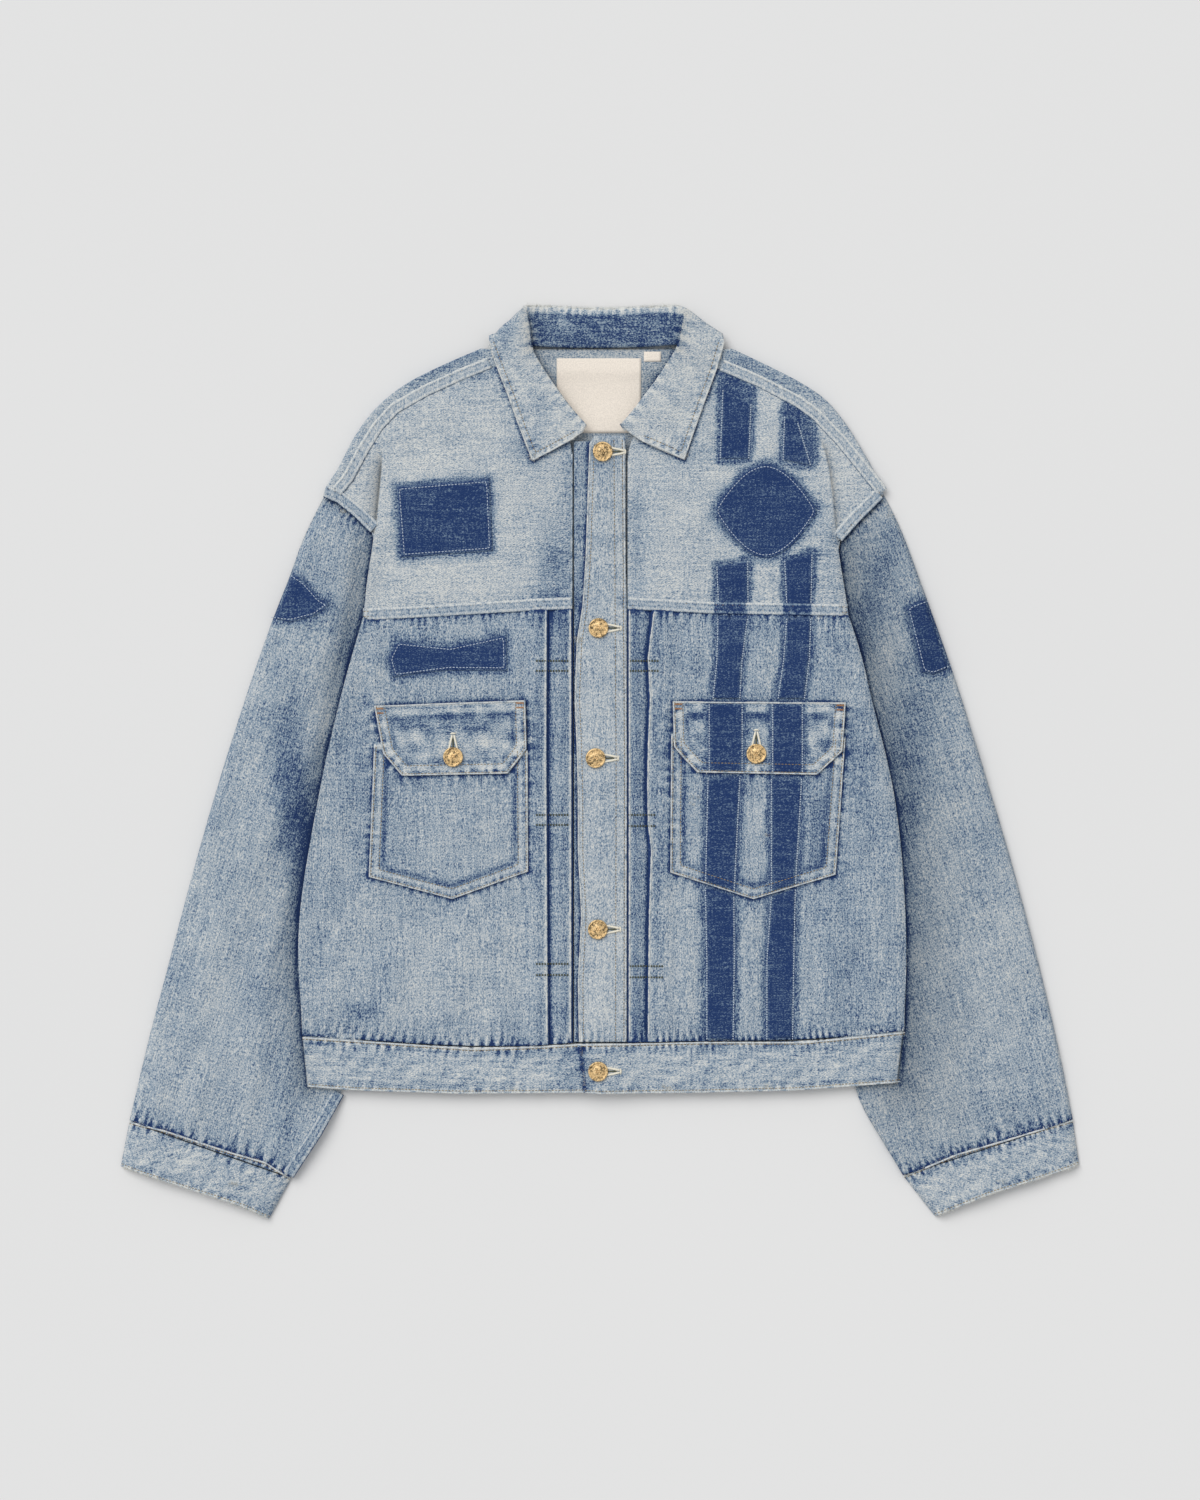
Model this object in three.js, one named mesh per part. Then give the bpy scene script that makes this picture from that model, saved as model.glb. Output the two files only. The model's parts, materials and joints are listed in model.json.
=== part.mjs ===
// Patched boro denim jacket, laid flat on its back, front up.
// Millimetres. +Z up from the surface it lies on, +Y towards the collar.
// "right" and "left" are the wearer's: the right side is at -X.
// Every piece of cloth is a closed wall. Pieces keep SEAM apart where they are sewn.

import * as THREE from "three";

// ---------------------------------------------------------------- cloth and layers
const CLOTH = 1.2;        // one layer of denim
const HEAVY = 1.8;        // faced pieces: collar and cuffs
const BAND = 2.0;         // folded waistband
const FLAP = 1.4;         // lined pocket flap
const PATCH = 1.0;        // boro patch
const SEAM = 0.4;         // gap between pieces
const PITCH = CLOTH + SEAM;

const Z_BACK = CLOTH / 2;                       // back on the surface, middle of the cloth
const Z_SLEEVE = Z_BACK + CLOTH + 0.5;          // upper layer of a sleeve under the body
const Z_OVER = Z_SLEEVE + PITCH;                // back where it rides over a sleeve
const Z_FRONT = Z_OVER + PITCH;                 // front panels
const Z_PLEAT = Z_FRONT + 2 * PITCH;            // top layer of a knife pleat
const Z_NECK = 3.0;                             // back yoke over the turned-down collar
const FRONT_TOP = Z_FRONT + CLOTH / 2;
const UNDER_TOP = Z_FRONT - CLOTH / 2 + FLAP;   // top of the under placket
const PLACKET_BASE = UNDER_TOP + SEAM;
const PLACKET_TOP = PLACKET_BASE + FLAP;
const POCKET_BASE = FRONT_TOP + SEAM;
const FLAP_BASE = POCKET_BASE + CLOTH + SEAM;
const ON_FLAP = FLAP_BASE + FLAP + SEAM;

// ---------------------------------------------------------------- outlines, by side
// Each side has: side edge [y, x], shoulder fold [y, x], shoulder seam [y, x],
// neck seam [y, x], yoke seam and waist seam [x, y], pleat edges and sleeve stations.
// x is given as a distance from the middle, so it is positive on both sides.
const SIDES = {
  right: {
    sign: -1,
    side: [[-295, 263], [-247, 269], [-225, 270], [-189, 274], [-134, 271.5], [-65, 260],
      [6, 247], [75, 230], [128, 214], [142, 212], [163, 211], [182, 207], [204, 204]],
    crease: [[204, 204], [219, 201], [252, 199], [283, 197]],
    armhole: [[206, 204.5], [221, 220], [234, 236], [239.5, 248.5]],
    fold: [[239.5, 249], [246, 250], [257, 239], [282, 227], [303, 216], [323, 199], [339, 178],
      [353, 150], [366, 121], [371, 108]],
    shoulder: [[239.5, 235], [254, 223], [278, 210], [299, 197], [315, 182], [331, 153.5],
      [344, 125], [356, 96]],
    neck: [[292, 25], [312, 38], [332, 53.5], [350, 65], [356, 68.5], [371, 69]],
    yokeSeam: [[24, 138], [57, 137], [154, 131], [214, 128]],
    waistSeam: [[24, -253.5], [55, -256], [115, -258], [201, -252], [268, -247.5]],
    pleatInner: [[-256, 26], [140, 26]],
    pleatOuter: [[-256, 47], [0, 48.5], [140, 48]],
    placketEdge: 24.2,
    outer: [[-249, 239], [-270, 198], [-278, 169.5], [-295.5, 129], [-324, 44], [-346, -26],
      [-369, -107], [-391, -192], [-407, -250], [-416, -290], [-424, -323.5]],
    inner: [[-187, 20], [-187, 5], [-188, -8], [-190, -35], [-196, -90], [-203, -145],
      [-213, -205], [-224, -262], [-233, -304], [-252, -336], [-277.6, -374.5]],
    cuffSeam: [[-278, -375], [-424, -324]],
    cuffEnd: [[-298.5, -412.5], [-319, -402], [-346, -393], [-390, -379], [-432, -365]],
    armholeBend: [[0, 0], [0.25, 14], [0.471, 25], [0.807, 33.8], [0.889, 22.9], [0.963, 11.1], [1, 0]],
    patchUpper: [[274.5, 168.5], [271.5, 166.6], [265.5, 162.5], [252, 147.2], [243.4, 142]],
    patchLower: [[291.8, 128.6], [287.5, 127.2], [279, 124.7], [256.5, 130.1], [243.4, 139.6]],
  },
  left: {
    sign: 1,
    side: [[-295, 271], [-243, 275], [-174, 277], [-106, 274], [-40, 267], [5, 258], [56, 244],
      [94, 237], [129, 224.5], [147, 222], [170, 218], [198, 214]],
    crease: [[198, 214], [250, 209], [280, 203], [299, 194]],
    armhole: [[199, 215.6], [217, 233], [228, 244], [238, 254]],
    fold: [[238, 255], [246, 257], [258, 249], [288, 233], [308, 220], [332, 199], [353, 158],
      [364, 135], [371, 120]],
    shoulder: [[238, 250], [245, 247], [286, 214], [309, 192], [320, 177], [339, 141],
      [352, 110.5], [356, 100]],
    neck: [[292, 27], [312, 42], [332, 57], [350, 72], [356, 76], [371, 77]],
    yokeSeam: [[24, 138], [103, 134], [224, 132]],
    waistSeam: [[24, -253.5], [92, -252], [184, -252], [275, -243]],
    pleatInner: [[-256, 26], [140, 26]],
    pleatOuter: [[-256, 43], [-139, 44], [-79, 46], [-56, 43], [-19, 42.5], [11, 43], [56, 45],
      [93, 43], [135, 48]],
    placketEdge: 15,
    outer: [[256, 240], [268, 217], [278, 192], [294, 147], [318, 82], [344, -1], [374, -100],
      [401, -204], [409, -240], [417, -275], [426, -322.5]],
    inner: [[187, 20], [187, 5], [188, -5], [190, -30], [194, -65], [202, -125], [213, -200],
      [224, -262], [230, -304], [250, -335], [272.6, -372.8]],
    cuffSeam: [[273, -373], [426, -322.5]],
    cuffEnd: [[302, -410], [350, -390], [395, -376], [432, -363.5]],
    armholeBend: [[0, 0], [0.25, 11], [0.47, 20.5], [0.767, 25.5], [0.875, 15], [0.934, 7.8], [1, 0]],
    patchUpper: [[292, 146.2], [288.5, 145], [281, 142.2], [274.5, 138.9]],
    patchLower: [[312.6, 83.4], [308.5, 81.4], [300, 77.4], [289.5, 79.5]],
  },
};
const HEM = [[-263, -293], [-218, -296], [-124, -299], [-15, -298], [0, -299], [92, -298],
  [176, -296], [271, -289]];
const SHOULDER_ROWS = [240, 248, 262, 280, 298, 314, 328, 341, 350, 355.5];
const BACK_SEAM = 130;      // yoke seam across the back
const BACK_WAIST = -259.5;  // waist seam across the back, rising to the front seam at the sides
const NECK_BACK = 371;      // collar seam at the back neck

// ---------------------------------------------------------------- small helpers
const lerp = THREE.MathUtils.lerp;
const smooth = (t) => THREE.MathUtils.smoothstep(t, 0, 1);

// Value of a table [[key, value], ...] with rising keys, held at both ends.
function table(rows, key) {
  if (key <= rows[0][0]) return rows[0][1];
  for (let i = 1; i < rows.length; i++) {
    const [k0, v0] = rows[i - 1];
    const [k1, v1] = rows[i];
    if (key <= k1) return lerp(v0, v1, (key - k0) / (k1 - k0));
  }
  return rows[rows.length - 1][1];
}

const steps = (n) => Array.from({ length: n + 1 }, (_, i) => i / n);
const spread = (a, b, n) => steps(n).map((t) => lerp(a, b, t));

// Point of a polyline of [x, y] at a share of its length.
function alongLine(line, share) {
  const path = new THREE.CurvePath();
  for (let i = 1; i < line.length; i++) {
    path.add(new THREE.LineCurve(new THREE.Vector2(...line[i - 1]), new THREE.Vector2(...line[i])));
  }
  const p = path.getPoint(share);
  return [p.x, p.y];
}

// ---------------------------------------------------------------- closed walls
// A wall between two grids of points, rows[j][i]: top and bottom faces and a rim all round.
function closeGrids(top, bottom, ring = false) {
  const rows = top.length;
  const cols = top[0].length;
  const points = [...top.flat(), ...bottom.flat()];
  const index = [];
  const at = (side, j, i) => side * rows * cols + j * cols + (i % cols);
  const quad = (a, b, c, d) => index.push(a, b, c, a, c, d);
  const spans = ring ? cols : cols - 1;
  for (let j = 0; j < rows - 1; j++) {
    for (let i = 0; i < spans; i++) {
      quad(at(0, j, i), at(0, j, i + 1), at(0, j + 1, i + 1), at(0, j + 1, i));
      quad(at(1, j, i), at(1, j + 1, i), at(1, j + 1, i + 1), at(1, j, i + 1));
    }
  }
  for (let i = 0; i < spans; i++) {
    quad(at(0, 0, i), at(1, 0, i), at(1, 0, i + 1), at(0, 0, i + 1));
    quad(at(0, rows - 1, i), at(0, rows - 1, i + 1), at(1, rows - 1, i + 1), at(1, rows - 1, i));
  }
  if (!ring) {
    for (let j = 0; j < rows - 1; j++) {
      quad(at(0, j, 0), at(0, j + 1, 0), at(1, j + 1, 0), at(1, j, 0));
      quad(at(0, j, cols - 1), at(1, j, cols - 1), at(1, j + 1, cols - 1), at(0, j + 1, cols - 1));
    }
  }
  return faceOut(points, index);
}

// Geometry from points and triangles, turned so that its volume is positive.
function faceOut(points, index) {
  let volume = 0;
  for (let k = 0; k < index.length; k += 3) {
    const [a, b, c] = [points[index[k]], points[index[k + 1]], points[index[k + 2]]];
    volume += a.dot(b.clone().cross(c)) / 6;
  }
  if (volume < 0) index.reverse();
  const geometry = new THREE.BufferGeometry().setFromPoints(points);
  geometry.setIndex(index);
  geometry.computeVertexNormals();
  return geometry;
}

// Grids half a thickness either side of a middle grid, along its own normals.
function offsetGrid(middle, distance, ring = false) {
  const rows = middle.length;
  const cols = middle[0].length;
  const pick = (j, i) => middle[THREE.MathUtils.clamp(j, 0, rows - 1)][
    ring ? (i + cols) % cols : THREE.MathUtils.clamp(i, 0, cols - 1)];
  return middle.map((row, j) => row.map((p, i) => {
    const back = pick(j, i - 1).clone().sub(p);
    const ahead = pick(j, i + 1).clone().sub(p);
    const along = ahead.normalize().sub(back.normalize());
    const across = pick(j + 1, i).clone().sub(pick(j - 1, i));
    const normal = along.cross(across).normalize();
    return p.clone().addScaledVector(normal, distance);
  }));
}

const wall = (middle, thickness, ring = false) => closeGrids(
  offsetGrid(middle, thickness / 2, ring), offsetGrid(middle, -thickness / 2, ring), ring);

// A flat piece laid between two edges of [x, y] with as many points each.
function laid(edgeA, edgeB, across, base, thickness) {
  const rows = edgeA.map((a, j) => across.map((t) => (
    new THREE.Vector2(lerp(a[0], edgeB[j][0], t), lerp(a[1], edgeB[j][1], t)))));
  const lift = (extra) => rows.map((row) => row.map((p) => (
    new THREE.Vector3(p.x, p.y, base(p.x, p.y) + extra))));
  return closeGrids(lift(thickness), lift(0));
}

// ---------------------------------------------------------------- materials
function cloth(color, roughness = 0.95) {
  return new THREE.MeshStandardMaterial({ color, roughness, metalness: 0 });
}
const PALE = cloth("#a9b6c4");
const MID = cloth("#8d9fb5");
const SLEEVE = cloth("#93a3b3");
const BANDS = cloth("#a3afba");
const INDIGO = cloth("#2c3f63");
const STAND = cloth("#5a6d8c");
const CREAM = cloth("#e3d9cc", 0.85);
const BRASS = new THREE.MeshStandardMaterial({ color: "#a8854f", roughness: 0.4, metalness: 0.9 });

const jacket = new THREE.Group();
function add(name, geometry, material) {
  const mesh = new THREE.Mesh(geometry, material);
  mesh.name = name;
  jacket.add(mesh);
  return mesh;
}

// ---------------------------------------------------------------- heights
// Front panel from the pleats outwards: down from the pleat, flat, then over the side fold.
const PLEAT_DEPTH = 8;
const RAMP = [[58.5, Z_PLEAT], [66, Z_FRONT + 1.1], [74, Z_FRONT]];
const SIDE_ROLL = [[20, 0], [12, 0.7], [5, 1.0], [1.8, 0.7], [CLOTH / 2, 0.15]];
const BACK_ROLL = [[20, 0], [5, 0], [CLOTH / 2, 0.05]];

const pocketBase = (x) => table(RAMP, Math.abs(x)) + CLOTH / 2 + SEAM;
const flapBase = (x) => pocketBase(x) + CLOTH + SEAM;
const flat = (z) => () => z;

// ---------------------------------------------------------------- front panels with pleats
function frontSection(part, y, fall) {
  const e1 = table(part.pleatInner, y);
  const e2 = table(part.pleatOuter, y);
  const edge = table(part.side, y);
  const turn = PITCH / 2;
  const points = [
    [part.placketEdge, Z_FRONT], [e1 + PLEAT_DEPTH, Z_FRONT],
    [e1 + PLEAT_DEPTH + turn, Z_FRONT + turn],
    [e1 + PLEAT_DEPTH, Z_FRONT + PITCH], [e1, Z_FRONT + PITCH],
    [e1 - turn, Z_FRONT + 1.5 * PITCH],
    [e1, Z_PLEAT], [e1 + PLEAT_DEPTH + 1.5, Z_PLEAT],
    [e2 - 2, Z_FRONT], [e2 + PLEAT_DEPTH, Z_FRONT],
    [e2 + PLEAT_DEPTH + turn, Z_FRONT + turn],
    [e2 + PLEAT_DEPTH, Z_FRONT + PITCH], [e2, Z_FRONT + PITCH],
    [e2 - turn, Z_FRONT + 1.5 * PITCH],
    [e2, Z_PLEAT], ...RAMP,
  ];
  const start = RAMP[RAMP.length - 1][0];
  const end = edge - SIDE_ROLL[0][0];
  points.push([lerp(start, end, 0.35), Z_FRONT], [lerp(start, end, 0.7), Z_FRONT]);
  for (const [inset, rise] of SIDE_ROLL) points.push([edge - inset, Z_FRONT + rise * fall]);
  return points;
}

function frontPanel(part) {
  const rows = [];
  for (const v of [0, 0.1, 0.2, 0.32, 0.42, 0.5, 0.6, 0.75, 1]) {
    const nominal = lerp(132, -252, v);
    rows.push(frontSection(part, nominal, 1).map(([a, z]) => {
      const top = table(part.yokeSeam, a) - SEAM;
      const bottom = table(part.waistSeam, a) + SEAM;
      return new THREE.Vector3(part.sign * a, lerp(top, bottom, v), z);
    }));
  }
  return wall(rows, CLOTH);
}

// ---------------------------------------------------------------- front yokes
// Rows run from the placket or neck out to the side fold, armhole or shoulder seam.
const YOKE_INNER = 24.8;
const ARMHOLE_GAP = 1.6;
const DIP_LENGTH = 14;    // along the armhole, where the yoke sinks beside the crease
const LOWER_SHARES = [0, 0.16, 0.36, 0.6, 0.82, 0.985];
function frontYoke(part) {
  const sideTop = part.side[part.side.length - 1][0];
  const shoulderFoot = part.shoulder[0][0];
  const creaseTop = part.crease[part.crease.length - 1][0];
  const ys = [...LOWER_SHARES.map((t) => lerp(132, sideTop, t))];
  ys.push(...[0.02, 0.5, 0.9].map((t) => lerp(part.armhole[0][0], shoulderFoot, t)));
  ys.push(...SHOULDER_ROWS);
  const rows = ys.map((y, j) => {
    const open = y > sideTop;
    const inner = y > 292 ? table(part.neck, y) + SEAM : YOKE_INNER;
    const rim = open
      ? (y < shoulderFoot ? table(part.armhole, y) - ARMHOLE_GAP : table(part.shoulder, y) - SEAM)
      : table(part.side, y);
    const crease = open ? Math.min(table(part.crease, Math.min(y, creaseTop)), rim - 6) : rim;
    const depth = open ? 1 - smooth((y - sideTop) / (creaseTop - sideTop)) : 1;
    const roll = lerp(1, 0.45, smooth((y - 132) / 50));
    const start = lerp(inner, crease, 0.22);
    const flatEnd = Math.max(crease - 20 * roll, lerp(inner, crease, 0.6));
    const xs = [inner, lerp(inner, start, 0.5), start, lerp(start, flatEnd, 0.33),
      lerp(start, flatEnd, 0.66), flatEnd];
    const heights = xs.map(() => 0);
    const near = open ? Math.min(1, (crease - inner) / 60) : 1;
    xs.push(crease - 10 * roll * near, crease - 5 * roll * near, crease - 1.8 * near);
    heights.push(0.5 * depth, 0.7 * depth, 0.35 * depth);
    if (open) {
      xs.push(crease + 1.5, lerp(crease + 1.5, rim, 0.5), rim);
      const dip = table([[sideTop, 0.2], [sideTop + DIP_LENGTH, 1.6]], y) * depth;
      heights.push(-dip, -dip * 0.95, -dip * 0.7);
    } else {
      xs.push(crease - 1.2, crease - 0.8, crease - CLOTH / 2);
      heights.push(0.3, 0.2, 0.15);
    }
    return xs.map((a, i) => {
      const seamLift = (a < 74 ? table([[24, 2.6], [58.5, 2.6], [74, 0]], a) : 0)
        * Math.max(0, 1 - (y - 132) / 28);
      const shift = y < sideTop ? (table(part.yokeSeam, a) - 132 + SEAM) * (1 - j / LOWER_SHARES.length) : 0;
      return new THREE.Vector3(part.sign * a, y + shift, Z_FRONT + heights[i] + seamLift);
    });
  });
  return wall(rows, CLOTH);
}

// ---------------------------------------------------------------- back panel and back yoke
// The back lies on the surface in the middle and rides over the sleeves at the sides.
function sleeveInside(part, y) {
  const low = part.inner.map(([x, yy]) => [yy, Math.abs(x)]).reverse();
  return y < 20 ? table(low, y) : table([[20, 187], [90, 189], [150, 192], [199, 203]], y);
}

function backHeight(part, a, y) {
  const inside = sleeveInside(part, y);
  return lerp(Z_BACK, Z_OVER, smooth((a - inside + 19) / 14));
}

function backWaist(part, a) {
  const [edge, seam] = part.waistSeam[part.waistSeam.length - 1];
  return table([[225, BACK_WAIST], [edge, seam]], a);
}

function backPanel() {
  const rows = [0, 0.13, 0.26, 0.39, 0.52, 0.65, 0.78, 0.9, 1].map((v) => {
    const y = lerp(BACK_SEAM - SEAM, BACK_WAIST + SEAM, v);
    const drop = (part, a) => y + (backWaist(part, a) - BACK_WAIST) * v ** 3;
    const half = (part) => {
      const inside = sleeveInside(part, y);
      const edge = table(part.side, y);
      const points = [[inside - 100, Z_BACK], [inside - 50, Z_BACK]];
      for (const inset of [19, 14, 10, 5]) {
        points.push([inside - inset, backHeight(part, inside - inset, y)]);
      }
      for (const [inset, rise] of BACK_ROLL) {
        if (inset === 20 && edge - inset < inside + 2) continue;
        points.push([edge - inset, Z_OVER + rise]);
      }
      while (points.length < 9) points.splice(6, 0, [lerp(points[5][0], points[6][0], 0.5), Z_OVER]);
      return points.map(([a, z]) => new THREE.Vector3(part.sign * a, drop(part, a), z));
    };
    return [...half(SIDES.right).reverse(), new THREE.Vector3(0, y, Z_BACK), ...half(SIDES.left)];
  });
  return wall(rows, CLOTH);
}

// Rows cross the back and wrap over each shoulder to the seam on the front.
function backYoke() {
  const ys = [BACK_SEAM + SEAM / 2, 150, 172, 192, 204, 218, 232, SHOULDER_ROWS[0] - 0.7, ...SHOULDER_ROWS, 358, 364.5, NECK_BACK];
  const rows = ys.map((y) => {
    const half = (part) => {
      const sideTop = part.side[part.side.length - 1][0];
      const lift = (Z_NECK - Z_BACK) * smooth((y - 330) / 20);
      const centre = (a) => Z_BACK + lift * (1 - smooth((a - 125) / 30));
      if (y < SHOULDER_ROWS[0]) {
        const rim = y <= sideTop
          ? table(part.side, y) - CLOTH / 2
          : table(part.armhole, y) - ARMHOLE_GAP * 1.5;
        const over = 1 - smooth((y - sideTop) / DIP_LENGTH);
        const height = (a) => lerp(Z_BACK, Z_OVER, smooth((a - sleeveInside(part, y) + 19) / 14) * over);
        const inside = Math.min(sleeveInside(part, y), rim - 4);
        const points = [inside - 80, inside - 19, inside - 12, inside - 5,
          rim - 2.4].map((a) => [a, height(a)]);
        for (const back of [1.8, 1.2, 0.6, 0]) {
          points.push([rim - back, height(rim) + (y <= sideTop ? 0.05 * (1 - back / 1.8) : 0)]);
        }
        return points.map(([a, z]) => new THREE.Vector3(part.sign * a, y, z));
      }
      const fold = table(part.fold, y);
      const seam = (y < 356 ? table(part.shoulder, y) : table(part.neck, y)) + SEAM * 0.6;
      const top = Z_FRONT;
      const low = centre(fold);
      const points = [0.45, 0.75, 0.88].map((t) => [fold * t, centre(fold * t)]);
      points.push([fold - 6, low], [fold - 2, low + 0.25], [fold - CLOTH / 2, lerp(low, top, 0.5)],
        [fold - 2, top - 0.25], [fold - 6, top], [seam, top]);
      return points.map(([a, z]) => new THREE.Vector3(part.sign * a, y, z));
    };
    const middle = Z_BACK + (Z_NECK - Z_BACK) * smooth((y - 330) / 20);
    return [...half(SIDES.right).reverse(), new THREE.Vector3(0, y, middle), ...half(SIDES.left)];
  });
  return wall(rows, CLOTH);
}

// ---------------------------------------------------------------- sleeves and cuffs
const ARMHOLE_FADE = [1, 0.86, 0.72, 0.5, 0.26, 0.1, 0, 0, 0, 0, 0];
const SLEEVE_LOFT = [3.2, 4.2, 4.7, 5.2, 5.4, 5.4, 5.2, 5.0, 4.6, 4.4, 4.2];

// Plan point of a sleeve: a share s from its inner to its outer edge, at station k.
function sleevePlan(part, k, s) {
  const [ix, iy] = part.inner[k];
  const [ox, oy] = part.outer[k];
  const bend = table(part.armholeBend, s) * ARMHOLE_FADE[k];
  const length = Math.hypot(ox - ix, oy - iy);
  const nx = (oy - iy) / length;
  const ny = -(ox - ix) / length;
  const side = part.sign < 0 ? 1 : -1;
  return new THREE.Vector2(lerp(ix, ox, s) + nx * bend * side, lerp(iy, oy, s) + ny * bend * side);
}

// How far a plan point lies outside the body's outline.
function clearOfBody(part, p) {
  const a = Math.abs(p.x);
  const beside = p.y > part.armhole[0][0] ? a - table(part.armhole, p.y) + 8
    : a - table(part.side, p.y);
  return Math.max(beside, -300 - p.y);
}

function sleeveHeight(part, k, p) {
  return Z_SLEEVE + SLEEVE_LOFT[k] * smooth((clearOfBody(part, p) - 4) / 30);
}

// Knots across a sleeve: closer together where it comes out from under the body.
function sleeveKnots(part, k) {
  let hidden = 0;
  for (const s of spread(0, 0.9, 180)) {
    if (clearOfBody(part, sleevePlan(part, k, s)) < 4) hidden = s;
  }
  const split = Math.max(hidden, 0.12);
  const width = 1 - split;
  return [split * 0.5, split, split + width * 0.16, split + width * 0.36, split + width * 0.58,
    split + width * 0.78, split + width * 0.94];
}

// One ring of a flattened tube: upper layer outwards, fold, lower layer back, fold.
function tubeRing(plan, knots, upper, lower, half) {
  const point = (s, z) => {
    const p = plan(s);
    return new THREE.Vector3(p.x, p.y, z);
  };
  const length = plan(0).distanceTo(plan(1));
  const near = (d) => d / length;
  const zi = upper(near(2));
  const zo = upper(1 - near(2));
  const ring = [point(near(half), lerp(lower, zi, 0.5)), point(near(half + 0.7), lerp(lower, zi, 0.94))];
  for (const s of knots) ring.push(point(s, upper(s)));
  ring.push(point(1 - near(half + 2.5), lerp(lower, zo, 0.86)));
  ring.push(point(1 - near(half), lerp(lower, zo, 0.5)));
  ring.push(point(1 - near(half + 2.5), lerp(lower, zo, 0.06)));
  for (const s of [...knots].reverse()) ring.push(point(s, lower));
  ring.push(point(near(half + 0.7), lerp(lower, zi, 0.06)));
  return ring;
}

function sleeveRings(part) {
  return part.outer.map((_, k) => {
    const plan = (s) => sleevePlan(part, k, s);
    const taper = (s) => 1 - 0.28 * smooth((s - 0.84) / 0.16);
    const upper = (s) => Z_BACK + (sleeveHeight(part, k, plan(s)) - Z_BACK) * taper(s);
    return tubeRing(plan, sleeveKnots(part, k), upper, Z_BACK, CLOTH / 2);
  });
}

function cuff(part) {
  const seam = part.cuffSeam;
  const last = part.outer.length - 1;
  const knots = spread(0.1, 0.93, 5);
  const rings = [0, 0.5, 1].map((v) => {
    const plan = (s) => {
      const a = alongLine(seam, s);
      const b = alongLine(part.cuffEnd, s);
      const down = new THREE.Vector2(b[0] - a[0], b[1] - a[1]).normalize().multiplyScalar(SEAM + 0.3);
      return new THREE.Vector2(lerp(a[0] + down.x, b[0], v), lerp(a[1] + down.y, b[1], v));
    };
    const crown = Z_SLEEVE + SLEEVE_LOFT[last] * 0.85;
    const upper = (s) => lerp(HEAVY / 2 + 2.4, crown, smooth(Math.min(s, 1 - s) / 0.2));
    return tubeRing(plan, knots, upper, HEAVY / 2, HEAVY / 2);
  });
  return wall(rings, HEAVY, true);
}

// A patch laid on a sleeve, beside its outer edge, at the height of the cloth under it.
const PATCH_GAP = 0.7;
function sleevePatch(part, rings) {
  const skin = new THREE.Mesh(wall(rings, CLOTH + 2 * PATCH_GAP, true));
  const down = new THREE.Vector3(0, 0, -1);
  const base = (x, y) => {
    const ray = new THREE.Raycaster(new THREE.Vector3(x, y, 100), down);
    return ray.intersectObject(skin)[0].point.z;
  };
  const edge = (points) => points.map(([a, y]) => [part.sign * a, y]);
  return laid(edge(part.patchUpper), edge(part.patchLower), steps(5), base, PATCH);
}

// ---------------------------------------------------------------- waistband
// One band from the under end at the front, round the back, to the lapped end on top.
function waistband() {
  const zBack = BAND / 2;
  const zOver = Z_OVER - CLOTH / 2 + BAND / 2;
  const zFront = zOver + BAND + SEAM;
  const zLap = zFront + BAND + SEAM;
  const path = [];
  for (const x of [12, -10, -30, -60, -120, -180, -230, -252]) path.push([x, zFront]);
  path.push([-262, zFront - 0.1], [-268 + 1, (zFront + zOver) / 2], [-262, zOver + 0.1]);
  for (const x of [-250, -215]) path.push([x, zOver]);
  for (const x of [-198, -150, -75, 0, 75, 150, 198]) path.push([x, zBack]);
  for (const x of [220, 256]) path.push([x, zOver]);
  path.push([267, zOver + 0.1], [273 - 1, (zFront + zOver) / 2], [267, zFront - 0.1]);
  for (const x of [256, 230, 180, 120, 60, 36]) path.push([x, zFront]);
  for (const x of [16, 0, -15]) path.push([x, zLap]);
  const seamAt = (x) => table(SIDES[x < 0 ? "right" : "left"].waistSeam, Math.abs(x)) - SEAM;
  const turns = path.map(([x, z]) => {
    const front = z > zOver + 1;
    const part = SIDES[x < 0 ? "right" : "left"];
    const top = front ? seamAt(x) : backWaist(part, Math.abs(x)) - SEAM;
    return [0, 0.5, 1].map((v) => {
      const hem = table(HEM, x);
      const slope = Math.abs(x) > 245 ? (Math.abs(x) - 245) / 25 * v * -5 * Math.sign(x) : 0;
      return new THREE.Vector3(x + slope, lerp(top, hem, v), z);
    });
  });
  const rows = [0, 1, 2].map((v) => turns.map((turn) => turn[v]));
  return wall(rows, BAND);
}

// ---------------------------------------------------------------- collar
// Stations from the front end to the middle of the back:
// neck seam, stand, roll line, fall and free edge.
const COLLAR_RIGHT = [
  [[-17, 297, 7.4], [-14, 300, 8.4], [-12.5, 302, 9.3], [-20, 292, 9.2], [-61, 270, 7.5]],
  [[-36, 312, 7.3], [-31, 315, 8.6], [-27, 318, 10.0], [-46, 307, 9.4], [-73, 301, 7.5]],
  [[-51, 332, 7.3], [-45, 334, 8.8], [-40, 336, 10.4], [-60, 331, 9.4], [-83, 329, 7.5]],
  [[-62.5, 350, 7.2], [-57, 352, 8.8], [-52.5, 354, 10.6], [-71, 353, 9.6], [-92, 353, 7.6]],
  [[-66, 364, 6.8], [-63, 367, 8.8], [-61.5, 371, 10.6], [-80, 373, 9.8], [-100, 378, 8.2]],
  [[-66, 370, 5.8], [-64, 377, 8.0], [-63, 388, 9.8], [-83, 391, 7.8], [-99, 385, 3.6]],
  [[-65, 374, 4.8], [-64, 386, 6.6], [-65, 401, 7.4], [-78, 402, 3.6], [-88, 378, 0.9]],
  [[-61, 374, 3.9], [-62, 394, 5.2], [-66, 411, 3.9], [-68, 403, 1.0], [-74, 366, 0.9]],
  [[-36, 372.6, 3.5], [-37, 392, 4.4], [-39, 409.3, 3.2], [-39, 401, 0.95], [-40, 357, 0.9]],
];
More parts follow.
